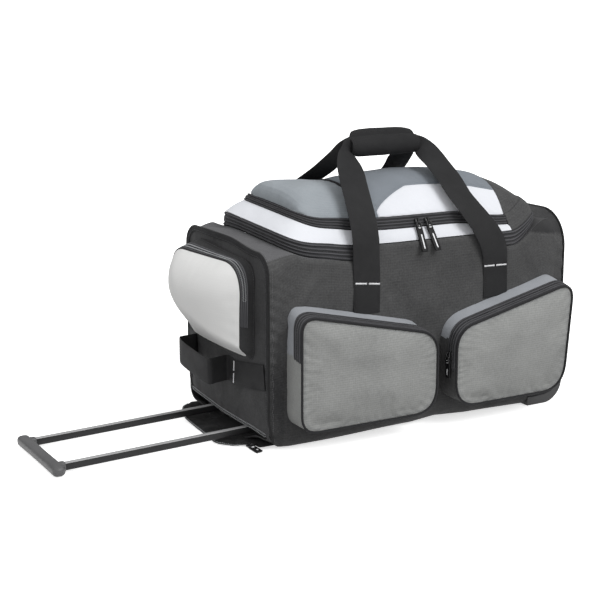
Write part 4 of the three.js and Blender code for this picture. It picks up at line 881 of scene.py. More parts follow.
def end_piping(side):
    """The corded seam round an end, with its sewn welt on the end's cloth."""
    node = "end_piping_" + end_name(side)
    edge = BODY_LEFT if side < 0 else BODY_RIGHT
    end = edge + 1.4 * side
    half = float(half_depth(end)) - 0.8
    top = float(top_at(edge)) - 0.8
    corner = float(round_at(edge)) - 0.8
    near_foot, far_foot = (21.0, 45.0) if side < 0 else (74.0, 74.0)
    bend = np.linspace(0, math.pi / 2, 22)
    turn_y, turn_z = half - corner + corner * np.cos(bend), top - corner + corner * np.sin(bend)
    across = np.linspace(half - corner, corner - half, 52)[1:-1]
    near_z, far_z = np.linspace(near_foot, top - corner, 40), np.linspace(far_foot, top - corner, 40)
    y = np.concatenate([np.full(40, -half), -turn_y, -across, turn_y[::-1], np.full(40, half)])
    z = np.concatenate([near_z, turn_z, np.full(50, top), turn_z[::-1], far_z[::-1]])
    if side < 0:
        y = np.where(y > 0, np.minimum(y, np.interp(z, [45, 63, 100, 150], [151, 164, 168.5, 172])), y)
        end = end + np.interp(z, [20, 60], [8, 0]) * (y < 0)
        z = z - left_sag(y) * ease(z, 250, 381)
    else:
        y = y * (1 - narrowing(BODY_RIGHT, z) / half)
    path = np.stack([np.broadcast_to(end, y.shape), y, z], -1)
    points = np.stack([np.full_like(y, 0), y, z], -1)
    path[:, 0] += 0.5 * relief(points, 40, 31)
    cord = tube("end_cord_" + end_name(side), path, 2.6, up=(1, 0, 0), sides=12)
    inward = unit(np.stack([np.zeros_like(y), -y, 190 - z], -1) * np.array([0, 1, 0.9]))
    welt_path = path + inward * 5.0 + np.array([0.6 * side, 0, 0])
    tangent = unit(np.gradient(welt_path, axis=0))
    across = unit(np.cross(tangent, np.array([1.0, 0, 0])))
    outward = np.broadcast_to(np.array([float(side), 0, 0]), path.shape)
    welt = ribbon(node + "_welt", welt_path, across * 5.4, outward, 1.6, 7)
    lay_row("dark_stitches", welt_path + inward * 3.2, (side, 0, 0), 0.9)
    dress(welt, PIPING, "black_cloth", node)
    dress(cord, CORD, "black_cloth", node)


def top_shelf(side):
    """Cloth between the lid's foot and the end of the bag."""
    end = BODY_LEFT if side < 0 else BODY_RIGHT
    start = -196.0 if side < 0 else 192.0
    straight_end, bend_end = 0.26, 0.42  # shares of the outer edge, from the middle of the bag's end
    front = ring_turn(FOOT, start, False)
    back = ring_turn(FOOT, start, True)
    turns = np.linspace(front, back, 171) if side < 0 else np.linspace(front, back - 4, 171)
    inner = ring_points(FOOT, turns)
    t = np.linspace(0, 1, 171)
    corner, depth = float(round_at(end)), float(half_depth(end) - narrowing(end, 300.0))
    outer = np.zeros_like(inner)
    lean = np.abs(2 * t - 1)
    run = np.clip((lean - bend_end) / (1 - bend_end), 0, 1)
    sign = np.sign(2 * t - 1)
    bend = np.clip((lean - straight_end) / (bend_end - straight_end), 0, 1) * math.pi / 4
    x_run = lerp(end - side * 1.0, start, run)
    rim_y = half_depth(x_run) - (1 - SLANT) * round_at(x_run) - narrowing(x_run, 300.0)
    straight = np.clip(lean / straight_end, 0, 1)
    bent = lean > straight_end
    arc_y = depth - corner + corner * np.sin(bend)
    arc_z = float(top_at(end)) - corner + corner * np.cos(bend)
    outer[:, 0] = np.where(run > 0, x_run, end - side * 1.0)
    outer[:, 1] = sign * np.where(run > 0, rim_y, np.where(bent, arc_y, straight * (depth - corner)))
    outer[:, 2] = np.where(run > 0, rim_at(x_run, sign), np.where(bent, arc_z, float(top_at(end)))) - 0.2
    if side < 0:
        outer[:, 2] -= np.where(run > 0, 0, left_sag(outer[:, 1]))
    s = np.linspace(0, 1, 30)[None, :, None]
    skin = inner[:, None] * (1 - s) + outer[:, None] * s
    points = skin.copy()
    bow = np.sin(np.pi * s[..., 0])
    wide = np.minimum(1, np.linalg.norm(outer - inner, axis=-1) / 30)[:, None]
    skin[..., 2] += (1.8 * relief(points, 60, 41) + 0.9 * relief(points, 26, 42) + 0.8 * side) * bow * wide
    skin[0, :, 2] -= 0.4
    skin[-1, :, 2] -= 0.4
    piece = shell("shelf_cloth_" + end_name(side), skin, CLOTH, core=(0, 0, 0))
    lay_row("dark_stitches", skin[3:-3, 27], (0, 0, 1), 0.3)
    lay_row("dark_stitches", skin[3:-3, 2], (0, 0, 1), 0.3)
    # painted light on the left shelf's cloth, painted shade on the right shelf's
    dress(piece, LIT_SHELF_CLOTH if side < 0 else SHADOW_CLOTH, "charcoal_cloth", "top_shelf_" + end_name(side))


# ---------------------------------------------------------------- the lid
def zip_band(name, node, start, end, low, high, rows):
    """Zip tape with hemmed edges, and the coil along its middle."""
    skin = lid_skin(start, end, low, high, rows, 25)
    normals = skin_normals(skin)
    share = np.linspace(0, 1, 25)
    height = 2.0 * np.sin(4 * np.pi * share) ** 2
    wave = 0.5 * relief(skin, 34, 51)
    skin = skin + normals * (height[None, :, None] + wave[..., None])
    piece = shell(name, skin, 1.6, tape=24.0)
    middle, facing = at_share(skin, 0.5), at_share(normals, 0.5)
    lay_row("zip_teeth", middle, facing, 0.9)
    lay_row("black_stitches", at_share(skin, 0.14), facing, 0.3)
    lay_row("black_stitches", at_share(skin, 0.86), facing, 0.3)
    dress(piece, TAPE, "black_cloth", node)


def white_band():
    """The white strip between the lid's two zips."""
    skin = lid_skin((WING_X - 0.3, False), (WING_X - 0.3, True), 1.02, 1.98, 300, 15)
    normals = skin_normals(skin)
    share = np.linspace(0, 1, 15)
    bow = np.sin(np.pi * share)[None, :]
    swell = 1.2 + 0.9 * relief(skin, 42, 61) + 0.4 * relief(skin, 17, 62)
    skin = skin + normals * (swell * bow)[..., None]
    piece = shell("white_band_cloth", skin, CLOTH)
    dress(piece, WHITE, "white_cloth", "lid_band")


def wing_side():
    """The lid's charcoal right end, below its top."""
    start = WING_X + 0.3
    skin = lid_skin((start, True), (start, False), 1.02, 2.98, 150, 24)
    turns = np.linspace(ring_turn(CROWN_RIM, start, True), ring_turn(CROWN_RIM, start, False) + 4, 150)
    rim_x, rim_y = ring_plan(CROWN_RIM, turns)
    last = np.stack([rim_x, rim_y, crown_height(rim_x, rim_y) - 0.4], -1)
    skin = np.concatenate([skin, last[:, None]], axis=1)
    normals = skin_normals(skin)
    bow = np.sin(np.pi * np.linspace(0, 1, 25))[None, :]
    skin = skin + normals * ((3.2 * bow + 1.4 * relief(skin, 50, 65) * bow)[..., None])
    piece = shell("wing_side_cloth", skin, CLOTH)
    lay_row("dark_stitches", at_share(skin, 0.08), at_share(normals, 0.08), 0.3)
    dress(piece, CHARCOAL, "charcoal_cloth", "wing_side")


def crown_edge(x):
    """Half the width of the lid's top."""
    share = length_share(CROWN_RIM, x)
    return CROWN_RIM["half"] * np.maximum(0, 1 - share**RING_POWER) ** (1 / RING_POWER)


def crown_height(x, y):
    base = level_height(ZIP_TOP, x, y)
    crest_x, crest_z = np.array(CROWN_CREST).T
    rise = np.maximum(0, np.interp(x, crest_x, crest_z) - level_height(ZIP_TOP, x))
    across = np.minimum(1, np.abs(y) / np.maximum(crown_edge(x), 1e-6))
    boxed = ease(-x, 140, 235) * ease(y, -40, 70)
    return base + rise * (1 - across ** (2.1 + 2.6 * boxed))


def crown_seam(x, bow):
    """A seam across the lid's top, bowed along it, as a function of the share from front to back."""
    def at(t):
        across = 2 * t - 1
        return np.stack([x + bow * (1 - np.abs(across) ** 1.6), across * crown_edge(x)], -1)

    return at


PIPED_SEAM = crown_seam(PIPED_X, -6.0)
WING_SEAM = crown_seam(WING_X, 24.0)
ARC_END = 0.5 - 84.0 / (2 * float(crown_edge(WING_X)))  # the share of the wing's seam where the arc meets it


def front_arc(t):
    """The curved seam between the white front panel and the grey middle one."""
    last = WING_SEAM(np.array(ARC_END))
    x = lerp(ARC_X, last[0], t)
    turned = np.clip((x - ARC_X) / 98.0, 0, 1)
    y = lerp(-crown_edge(x) + 8.0 * (1 - t), lerp(-75.0, last[1], t), turned**0.75)
    return np.stack([x, y], -1)


def crown_panel(name, node, left, right, front, back, finish, slot, rows, cols, seed, puff=1.0, lean=0):
    """One cut panel of the padded top, drawn between its four seams; `lean` crowds its rows to one end."""
    s, t = np.linspace(0, 1, rows), np.linspace(0, 1, cols)
    s = s**1.7 if lean < 0 else 1 - (1 - s) ** 1.7 if lean > 0 else s
    a, b, c, d = left(t)[None], right(t)[None], front(s)[:, None], back(s)[:, None]
    s2, t2 = s[:, None, None], t[None, :, None]
    corners = ((1 - s2) * (1 - t2) * a[:, :1] + s2 * (1 - t2) * b[:, :1]
               + (1 - s2) * t2 * a[:, -1:] + s2 * t2 * b[:, -1:])
    plan = a * (1 - s2) + b * s2 + c * (1 - t2) + d * t2 - corners
    x, y = plan[..., 0], plan[..., 1]
    z = crown_height(x, y)
    skin = np.stack([x, y, z], -1)
    width = np.linalg.norm(skin[-1] - skin[0], axis=-1).mean()
    length = np.linalg.norm(skin[:, -1] - skin[:, 0], axis=-1).mean()
    edge = np.minimum(np.minimum(s2[..., 0], 1 - s2[..., 0]) * width, np.minimum(t2[..., 0], 1 - t2[..., 0]) * length)
    rim = np.minimum((1 - s2[..., 0]) * width, np.minimum(t2[..., 0], 1 - t2[..., 0]) * length)
    if lean > 0:
        edge = np.broadcast_to(s2[..., 0] * width, edge.shape)
    flat = np.stack([x, y, np.zeros_like(x)], -1)
    inside = 1 - np.exp(-edge / 12)
    out = puff * (2.2 * inside + 1.6 * relief(flat, 70, seed) * inside + 0.8 * relief(flat, 27, seed + 1) * inside)
    out += 0.8 * np.sin((x + y + 8 * relief(flat, 40, seed + 2)) / 3.6) * np.exp(-edge / 10) * np.minimum(1, edge / 3)
    out -= 1.2 * np.exp(-((edge / 2.4) ** 2))
    if lean > 0:
        out = out * (1 - np.exp(-rim / 20))
    normals = skin_normals(skin, core=(0, 0, 0))
    skin = skin + normals * out[..., None]
    piece = shell(name, skin, CLOTH, core=(0, 0, 0))
    dress(piece, finish, slot, node)
    return skin, normals


def crown():
    """The padded top: four cut panels, and the piping between the two grey ones."""
    trim = 0.0024 * (CROWN_RIM["right"] - CROWN_RIM["left"])
    left_end, right_end = CROWN_RIM["left"] + trim, CROWN_RIM["right"] - trim

    def along(x0, x1, side):
        def at(s):
            x = lerp(x0, x1, s)
            return np.stack([x, side * crown_edge(x)], -1)

        return at

    def end_line(x):
        def at(t):
            return np.stack([np.full_like(t, x), lerp(-1.0, 1.0, t) * crown_edge(x)], -1)

        return at

    def part(seam, low, high):
        return lambda t: seam(lerp(low, high, t))

    crown_panel("crown_left_cloth", "crown_left", end_line(left_end), PIPED_SEAM, along(left_end, PIPED_X, -1),
                along(left_end, PIPED_X, 1), CAP_GREY, "grey_ripstop", 80, 120, 71, lean=-1)
    crown_panel("wing_top_cloth", "wing_top", WING_SEAM, end_line(right_end), along(WING_X, right_end, -1),
                along(WING_X, right_end, 1), CHARCOAL, "charcoal_cloth", 40, 120, 74, lean=1)
    tip = np.array([ARC_X, -float(crown_edge(ARC_X))])
    arc_start = front_arc(np.array(0.0))
    crown_panel("crown_front_cloth", "crown_front", lambda t: lerp(tip, arc_start, t[:, None]),
                part(WING_SEAM, 0.0, ARC_END), along(ARC_X, WING_X, -1), front_arc,
                WHITE, "white_cloth", 140, 34, 77, puff=0.7)

    def middle_front(s):
        """The seam below the middle panel: along the lid's rim at first, then up the white panel's arc."""
        share = (ARC_X - PIPED_X) / 300.0
        first = lerp(PIPED_SEAM(np.array(0.0)), tip, np.clip(s / share, 0, 1)[:, None])
        rest = front_arc(np.clip((s - share) / (1 - share), 0, 1))
        return np.where((s < share)[:, None], first, rest)

    middle, normals = crown_panel(
        "crown_middle_cloth", "crown_middle", PIPED_SEAM, part(WING_SEAM, ARC_END, 1.0), middle_front,
        along(PIPED_X, WING_X, 1), CROWN_GREY, "grey_ripstop", 140, 90, 80)
    lay_row("grey_stitches", middle[12:-2, 2], normals[12:-2, 2], 0.4)
    t = np.linspace(0, 1, 90)
    seam = PIPED_SEAM(t)
    path = np.concatenate([seam, (crown_height(seam[:, 0], seam[:, 1]) + 0.9)[:, None]], 1)
    path[:, 2] += 0.9 * np.sin(np.pi * t)
    piece = tube("crown_cord", path, 2.4, up=(0, 0, 1), sides=12)
    dress(piece, PIPING, "black_cloth", "crown_piping")


# ---------------------------------------------------------------- front pockets
def rounded_loop(corners, step=3.0):
    """A closed outline from (a, b, rounding) corners, each cut by a quadratic bend, at an even step."""
    dense = []
    count = len(corners)
    for k in range(count):
        at = np.array(corners[k][:2], float)
        before = np.array(corners[k - 1][:2], float)
        after = np.array(corners[(k + 1) % count][:2], float)
        reach = corners[k][2]
        a = at + (before - at) / np.linalg.norm(before - at) * reach
        b = at + (after - at) / np.linalg.norm(after - at) * reach
        t = np.linspace(0, 1, 24)[:, None]
        dense.append((1 - t) ** 2 * a + 2 * t * (1 - t) * at + t**2 * b)
    dense = np.concatenate(dense)
    dense = np.concatenate([dense, dense[:1]])
    run = np.concatenate([[0], np.cumsum(np.linalg.norm(np.diff(dense, axis=0), axis=1))])
    even = np.linspace(0, run[-1], int(run[-1] / step) + 1)[:-1]
    return np.stack([np.interp(even, run, dense[:, k]) for k in (0, 1)], -1)


def loop_outward(loop):
    """The directions out of a closed flat outline."""
    tangent = unit(np.roll(loop, -1, 0) - np.roll(loop, 1, 0))
    normal = np.stack([tangent[:, 1], -tangent[:, 0]], -1)
    return normal if np.sum(normal * (loop - loop.mean(0))) > 0 else -normal


def inset(loop, by):
    return loop - loop_outward(loop) * by


def run_over_top(loop, begin, stop, above):
    """Places in a closed outline from `begin` to `stop`, round the way whose middle lies above a height."""
    count = len(loop)
    for step in (1, -1):
        run = [(begin + step * k) % count for k in range(count)]
        run = run[: run.index(stop) + 1]
        if loop[run[len(run) // 2], 1] >= above:
            break
    return run


def pocket_front(a, b, depth):
    """A place on a front pocket, `depth` out from the bag; its upper part flares upwards near the bag."""
    flare = POCKET_FLARE * ease(b, 110, 225) * np.clip(1 - depth / (0.9 * POCKET_DEPTH), 0, 1)
    root = -narrowing(a, b) * np.clip(-depth, 0, 1)
    return np.stack([a, -half_depth(a) - 0.3 - np.maximum(depth, 0) - root, b + flare], -1)


def fill_loop(loop, rings):
    """Rows of points from the outline to its middle, as shares of the way in."""
    middle = loop.mean(0)
    share = np.linspace(1, 0.0, rings) ** 0.85
    return loop[:, None] * share[None, :, None] + middle * (1 - share[None, :, None]), share


def dish(name, place, loop, rings, depth_at, wall, core):
    """A domed face inside a closed outline, with its cloth's own flat coordinates for the weave."""
    flat, share = fill_loop(loop, rings)
    flat = flat[:, :-1]
    share = share[:-1]
    out = depth_at(flat[..., 0], flat[..., 1], share[None, :])
    skin = place(flat[..., 0], flat[..., 1], out)
    tip_flat = loop.mean(0)
    tip = place(tip_flat[0], tip_flat[1], np.array(depth_at(tip_flat[0], tip_flat[1], np.array(0.0))))
    normals = skin_normals(skin, True, core)
    rows, cols = skin.shape[:2]
    inner = skin - normals * wall
    tip_normal = unit(normals[:, -1].mean(0))
    points = np.concatenate([skin.reshape(-1, 3), inner.reshape(-1, 3), [tip], [tip - tip_normal * wall]])
    uv = np.concatenate([flat.reshape(-1, 2), flat.reshape(-1, 2), [tip_flat], [tip_flat]]) * MM
    count = rows * cols
    faces = []
    for i in range(rows):
        k = (i + 1) % rows
        for j in range(cols - 1):
            quad = (i * cols + j, k * cols + j, k * cols + j + 1, i * cols + j + 1)
            faces.append(quad)
            faces.append(tuple(v + count for v in quad[::-1]))
        last, after = i * cols + cols - 1, k * cols + cols - 1
        faces.append((last, after, 2 * count))
        faces.append((after + count, last + count, 2 * count + 1))
        faces.append((k * cols, i * cols, i * cols + count, k * cols + count))
    return add_mesh(name, points, faces, [uv[list(face)] for face in faces]), skin, normals


def puffed_cloth(across, up, slack):
    """Creases of a padded panel sewn down all round, from a cloth simulation; gives a function of two shares."""
    cell, steps = 7, 20
    cols, rows = int(across / cell), int(up / cell)
    u, v = np.meshgrid(np.linspace(0, 1, cols), np.linspace(0, 1, rows), indexing="ij")
    points = np.stack([u * across, v * up, 6 * np.sin(np.pi * u) * np.sin(np.pi * v)], -1).reshape(-1, 3) * MM
    faces = [
        (i * rows + j, (i + 1) * rows + j, (i + 1) * rows + j + 1, i * rows + j + 1)
        for i in range(cols - 1) for j in range(rows - 1)
    ]
    mesh = bpy.data.meshes.new("panel")
    mesh.from_pydata(points.tolist(), [], faces)
    panel = bpy.data.objects.new("panel", mesh)
    scene.collection.objects.link(panel)
    seam = panel.vertex_groups.new(name="seam")
    on_edge = (u == 0) | (u == 1) | (v == 0) | (v == 1)
    seam.add(np.where(on_edge.ravel())[0].tolist(), 1.0, "REPLACE")
    cloth = panel.modifiers.new("cloth", "CLOTH")
    for label, value in {
        "quality": 6, "mass": 0.15, "tension_stiffness": 20, "compression_stiffness": 20, "shear_stiffness": 6,
        "bending_stiffness": 0.04, "shrink_min": -slack, "vertex_group_mass": "seam", "use_pressure": True,
        "uniform_pressure_force": 4,
    }.items():
        setattr(cloth.settings, label, value)
    cloth.settings.effector_weights.gravity = 0
    cloth.collision_settings.use_collision = False
    cloth.point_cache.frame_start = 1
    cloth.point_cache.frame_end = steps
    for step in range(1, steps + 1):
        scene.frame_set(step)
    ready = bpy.context.evaluated_depsgraph_get()
    settled = bpy.data.meshes.new_from_object(panel.evaluated_get(ready), depsgraph=ready)
    height = np.array([vertex.co.z for vertex in settled.vertices]).reshape(cols, rows) / MM
    bpy.data.objects.remove(panel)
    bpy.data.meshes.remove(settled)
    scene.frame_set(1)
    smooth = height.copy()
    for _ in range(14):
        padded = np.pad(smooth, 1, mode="edge")
        smooth = (padded[:-2, 1:-1] + padded[2:, 1:-1] + padded[1:-1, :-2] + padded[1:-1, 2:] + 2 * smooth) / 6
    crease = np.clip(height - smooth, -3.0, 3.0)

    def at(share_u, share_v):
        x = np.clip(np.asarray(share_u, float), 0, 1) * (cols - 1)
        y = np.clip(np.asarray(share_v, float), 0, 1) * (rows - 1)
        i, j = np.minimum(x.astype(int), cols - 2), np.minimum(y.astype(int), rows - 2)
        s, t = x - i, y - j
        low = lerp(crease[i, j], crease[i + 1, j], s)
        high = lerp(crease[i, j + 1], crease[i + 1, j + 1], s)
        return lerp(low, high, t)

    return at


def pocket_loop(side):
    """A front pocket's outline in x and height."""
    p = POCKETS[side]
    return rounded_loop([
        (p["inner"], POCKET_FOOT, 54), (p["foot"], POCKET_FOOT, p["foot_round"]),
        (p["outer"], POCKET_TOP, p["round"]), (p["inner"], POCKET_INNER_TOP, 42),
    ])


def pocket_edge(x):
    """Height of the front pockets' sloping upper edges."""
    p = POCKETS["left"], POCKETS["right"]
    share = [(x - side["inner"]) / (side["outer"] - side["inner"]) for side in p]
    return lerp(POCKET_INNER_TOP, POCKET_TOP, np.where(x < 0, *share))


def pocket(side):
    """A front pocket: gusset, zip, piping round the face, and the face itself."""
    p = POCKETS[side]
    sign = -1 if side == "left" else 1
    loop = pocket_loop(side)
    core = (loop[:, 0].mean(), -190.0, loop[:, 1].mean())
    depth = np.concatenate([[-1.0], np.linspace(0.0, POCKET_DEPTH - 1.0, 12)[1:]])
    skin = np.stack([pocket_front(loop[:, 0], loop[:, 1], d) for d in depth], 1)
    points = skin.copy()
    bow = np.sin(np.pi * np.linspace(0, 1, 12))[None, :]
    normals = skin_normals(skin, True, core)
    skin = skin + normals * ((0.9 * relief(points, 36, 91) + 0.5 * relief(points, 15, 92)) * bow)[..., None]
    gusset = shell(side + "_pocket_gusset_cloth", skin, CLOTH, closed=True, core=core)
    dress(gusset, GUSSET, "gusset_cloth", side + "_pocket_gusset")
    gusset.data.materials.append(RIPSTOP)
    gusset.data.materials.append(CHARCOAL)
    middle_x = (p["inner"] + p["outer"]) / 2
    for face in gusset.data.polygons:
        at = face.center / MM
        out = sign * (at.x - middle_x)
        if (at.z < 120 and abs(out) < 112) or (at.z < 188 and out > 0):
            face.material_index = 1
        elif at.z < 178 and out < 0:
            face.material_index = 2
    # zip round the top, from the inner side to the outer side
    outward = loop_outward(loop)
    begin = np.argmin(np.abs(loop[:, 1] - 118) + 1000 * (sign * (loop[:, 0] - middle_x) > 0))
    stop = np.argmin(np.abs(loop[:, 1] - 182) + 1000 * (sign * (loop[:, 0] - middle_x) < 0))
    run = run_over_top(loop, begin, stop, 120)
    share = np.linspace(0.50, 0.98, 25)
    strip = np.stack([pocket_front(*(loop[run] + outward[run] * 0.4).T, s * POCKET_DEPTH) for s in share], 1)
    normals = skin_normals(strip, False, core)
    t = np.linspace(0, 1, 25)
    height = 0.9 + 1.9 * np.sin(4 * np.pi * t) ** 2
    ends = np.minimum(1, np.minimum(np.arange(len(run)), np.arange(len(run))[::-1]) / 2)
    strip = strip + normals * (height[None, :] * (0.5 + 0.5 * ends[:, None]))[..., None]
    tape = shell(side + "_pocket_zip_tape", strip, 1.2, core=core, tape=24.0)
    dress(tape, TAPE, "black_cloth", side + "_pocket_zip")
    lay_row("zip_teeth", at_share(strip, 0.5), at_share(normals, 0.5), 0.8)
    lay_row("black_stitches", at_share(strip, 0.16), at_share(normals, 0.16), 0.3)
    lay_row("black_stitches", at_share(strip, 0.84), at_share(normals, 0.84), 0.3)
    # piping round the face
    cord_loop = inset(loop, 0.6)
    cord_path = pocket_front(cord_loop[:, 0], cord_loop[:, 1], POCKET_DEPTH + 0.6)
    cord = tube(side + "_pocket_cord", cord_path, 2.3, up=(0, -1, 0), sides=12, closed=True)
    dress(cord, PIPING, "black_cloth", side + "_pocket_piping")

    wide, tall = abs(p["outer"] - p["inner"]), POCKET_TOP - POCKET_FOOT
    creases = puffed_cloth(wide, tall, 0.04 if side == "left" else 0.036)

    def depth_at(a, b, share):
        flat = np.stack([a, 0 * a, b], -1)
        edge = 1 - share
        dome = POCKET_BULGE * (1 - share**2.6)
        soft = np.minimum(1, edge * 7)
        swell = (2.2 * relief(flat, 90, 101) + 1.5 * relief(flat, 36, 103)) * soft
        around = np.arctan2(b - 150, (a - middle_x) * 0.7)
        pucker = 0.9 * np.sin(around * 46 + 3 * relief(flat, 50, 107)) * np.exp(-edge * 9) * np.minimum(1, edge * 25)
        crease = creases((a - min(p["inner"], p["outer"])) / wide, (b - POCKET_FOOT) / tall)
        swell = swell + crease * 0.55 * np.minimum(1, edge * 10)
        return POCKET_DEPTH - 0.8 + dome + swell + pucker

    face, face_skin, face_normals = dish(
        side + "_pocket_face_cloth", pocket_front, inset(loop, 2.4), 46, depth_at, CLOTH, core)
    dress(face, RIPSTOP, "grey_ripstop", side + "_pocket_face")
    lay_row("grey_stitches", face_skin[:, 2], face_normals[:, 2], 0.3, closed=True)


# ---------------------------------------------------------------- end pocket
def end_place(a, b, depth):
    """A place on the end pocket, `depth` out from the left end."""
    return np.stack([end_panel_x(-1, a, b) - 0.3 - depth, a, b], -1)


def end_depth(y, z):
    """How deep the end pocket's side is: deeper at the back, where it tapers from higher up than in front."""
    taper = lerp(200.0, 300.0, np.clip((y + 130.0) / 260.0, 0, 1))
    part = np.clip((z - 170.0) / (taper - 170.0), 0, 1)
    return lerp(7.0, 41.0 + 9.0 * y / 130.0, part * part * (3 - 2 * part))


def end_slope(loop):
    """The end pocket's top edge rises towards the back."""
    rise = 8.0 * loop[:, 0] / 130.0 * ease(loop[:, 1], 220, 359)
    return np.stack([loop[:, 0], loop[:, 1] + rise], -1)


def end_pocket():
    """The pocket on the left end: gusset, zip and padded face."""
    half, low, high = END_POCKET_HALF, END_POCKET_LOW, END_POCKET_HIGH
    loop = rounded_loop([(-half, low, 26), (half, low, 26), (half, high, 44), (-half, high, 44)], 2.6)
    core = (-360.0, 0.0, 262.0)
    t = np.linspace(0, 1, 11)
    face_loop = rounded_loop(
        [(-half, low + 9, 26), (half, low + 9, 30), (half, high - 10, 50), (-half, high - 8, 62)], 2.6)
    run = np.linspace(0, 1, len(face_loop) + 1)
    face_loop = np.concatenate([face_loop, face_loop[:1]])
    even = np.linspace(0, 1, len(loop) + 1)[:-1]
    face_loop = np.stack([np.interp(even, run, face_loop[:, k]) for k in (0, 1)], -1)
    loop = end_slope(loop)
    deep = end_depth(face_loop[:, 0], face_loop[:, 1])
    skin = np.stack([
        end_place(*lerp(loop, face_loop, k).T, deep * k - (0.4 if k == 0 else 0)) for k in t], 1)
    normals = skin_normals(skin, True, core)
    bow = np.sin(np.pi * t)[None, :]
    skin = skin + normals * ((0.8 * relief(skin, 40, 111) + 0.4 * relief(skin, 16, 112)) * bow)[..., None]
    gusset = shell("end_pocket_gusset_cloth", skin, CLOTH, closed=True, core=core)
    # painted shade: the gusset gets the darkest copy of the charcoal cloth
    dress(gusset, DEEP_CLOTH, "charcoal_cloth", "end_pocket_gusset")
    lay_row("dark_stitches", skin[:, 1], normals[:, 1], 0.3, closed=True)
    # zip over the top and down both sides
    outward = loop_outward(loop)
    begin = np.argmin(np.abs(loop[:, 1] - 232) + 1000 * (loop[:, 0] > 0))
    stop = np.argmin(np.abs(loop[:, 1] - 232) + 1000 * (loop[:, 0] < 0))
    run = run_over_top(loop, begin, stop, 250)
    share = np.linspace(0.46, 0.98, 17)
    strip = np.stack([
        end_place(*(lerp(loop, face_loop, k)[run] + outward[run] * 0.4).T, deep[run] * k) for k in share], 1)
    normals = skin_normals(strip, False, core)
    t = np.linspace(0, 1, 17)
    height = 1.3 + 0.7 * ridge(t, 0.08, 0.08) + 0.7 * ridge(t, 0.92, 0.08) - 0.5 * ridge(t, 0.5, 0.08)
    strip = strip + normals * height[None, :, None]
    tape = shell("end_pocket_zip_tape", strip, 1.2, core=core, tape=24.0)
    dress(tape, TAPE, "black_cloth", "end_pocket_zip")
    # painted highlight: pale lines of coil only along the zip's upper, lit part
    bright = strip[:, 8, 2] > 284
    for place in (0.36, 0.66):
        lay_row("highlight_teeth", at_share(strip[bright], place), at_share(normals[bright], place), 0.6)

    creases = puffed_cloth(2 * half, high - low, 0.035)

    def depth_at(a, b, share):
        flat = np.stack([0 * a, a, b], -1)
        edge = 1 - share
        dome = 36.0 * (1 - share**2.6) * lerp(0.6, 1.08, ease(b, 180, 310))
        swell = (1.2 * relief(flat, 100, 121) + 0.3 * relief(flat, 40, 123)) * np.minimum(1, edge * 7)
        swell = swell + creases(a / (2 * half) + 0.5, (b - low) / (high - low)) * 0.2 * np.minimum(1, edge * 8)
        around = np.arctan2(b - 262, a)
        pucker = 0.5 * np.sin(around * 30 + 3 * relief(flat, 50, 127)) * np.exp(-edge * 9) * np.minimum(1, edge * 25)
        return end_depth(a, b) + dome + swell + pucker

    face, _, _ = dish("end_pocket_face_cloth", end_place, inset(face_loop, 0.2), 44, depth_at, CLOTH, core)
    dress(face, PALE, "pale_cloth", "end_pocket_face")


# ---------------------------------------------------------------- handles
def carry_handle(side):
    """One webbing handle: up one side of the bag, through the grip and down again."""
    sign = -1.0 if side == "front" else 1.0
    legs = []
    for leg in ("left", "right"):
        rows = HANDLE_LEGS[f"{side}_{leg}"]
        legs.append([(x, sign * (depth + WEBBING / 2), z, turn, width) for depth, x, z, turn, width in rows])
    count = 330
    path = smooth_path(legs[0] + legs[1][::-1], count)
    middle = path[:, :3]
    angle = np.radians(np.clip(path[:, 3], 0, 90))
    inward = np.where(path[:, 0] < 0, -1.0, 1.0)
    half = np.stack([-inward * np.cos(angle), np.zeros_like(angle), -np.sin(angle)], -1)
    tangent = unit(np.gradient(middle, axis=0))
    half = unit(half - tangent * np.sum(half * tangent, axis=-1, keepdims=True))
    width = path[:, 4] / 2
    outward = np.cross(tangent, half)
    flip = np.sign(np.sum(outward * np.array([0, sign, 0.35]), axis=-1, keepdims=True))
    outward = outward * np.where(flip == 0, 1, flip)
    for k in range(1, len(outward)):
        if np.dot(outward[k], outward[k - 1]) < 0:
            outward[k] = -outward[k]
    free = ease(middle[:, 2], 305, 350) * ease(530 - middle[:, 2], 0, 30)
    wave = 1.6 * relief(middle, 60, 131 if side == "front" else 137) * free
    middle = middle + outward * wave[:, None]
    if side == "front":
        run = middle[:, 2] < 300
        middle[run, 2] = lerp(pocket_edge(middle[run, 0]) + POCKET_FLARE, 300, (middle[run, 2] - 190) / 110)
    piece = ribbon(side + "_handle_webbing", middle, half * width[:, None], outward, WEBBING, 15)
    dress(piece, WEB, "webbing", side + "_handle")
    sewn = np.where(middle[:, 2] < np.where(middle[:, 0] < 0, 303, 308))[0]
    for leg in (sewn[sewn < count // 2], sewn[sewn >= count // 2]):
        line, reach, face = middle[leg], (half * width[:, None])[leg], outward[leg]
        for edge in (-0.86, 0.86):
            lay_row("black_stitches", line + reach * edge, face, WEBBING / 2 + 0.2)
        top = np.argmax(line[:, 2])
        if side == "front":
            for lo, hi in ((-0.9, -0.06), (0.12, 0.94)):
                part = line[top] + reach[top] * lerp(lo, hi, np.linspace(0, 1, 16))[:, None]
                part[:, 2] -= 0.14 * (part[:, 0] - line[top, 0])
                lay_row("bar_tacks", part, face[top], WEBBING / 2 + 0.3)
        head = line[top] + reach[top] * np.linspace(-0.999, 0.999, 21)[:, None]
        lay_row("black_stitches", head, face[top], WEBBING / 2 + 0.2)


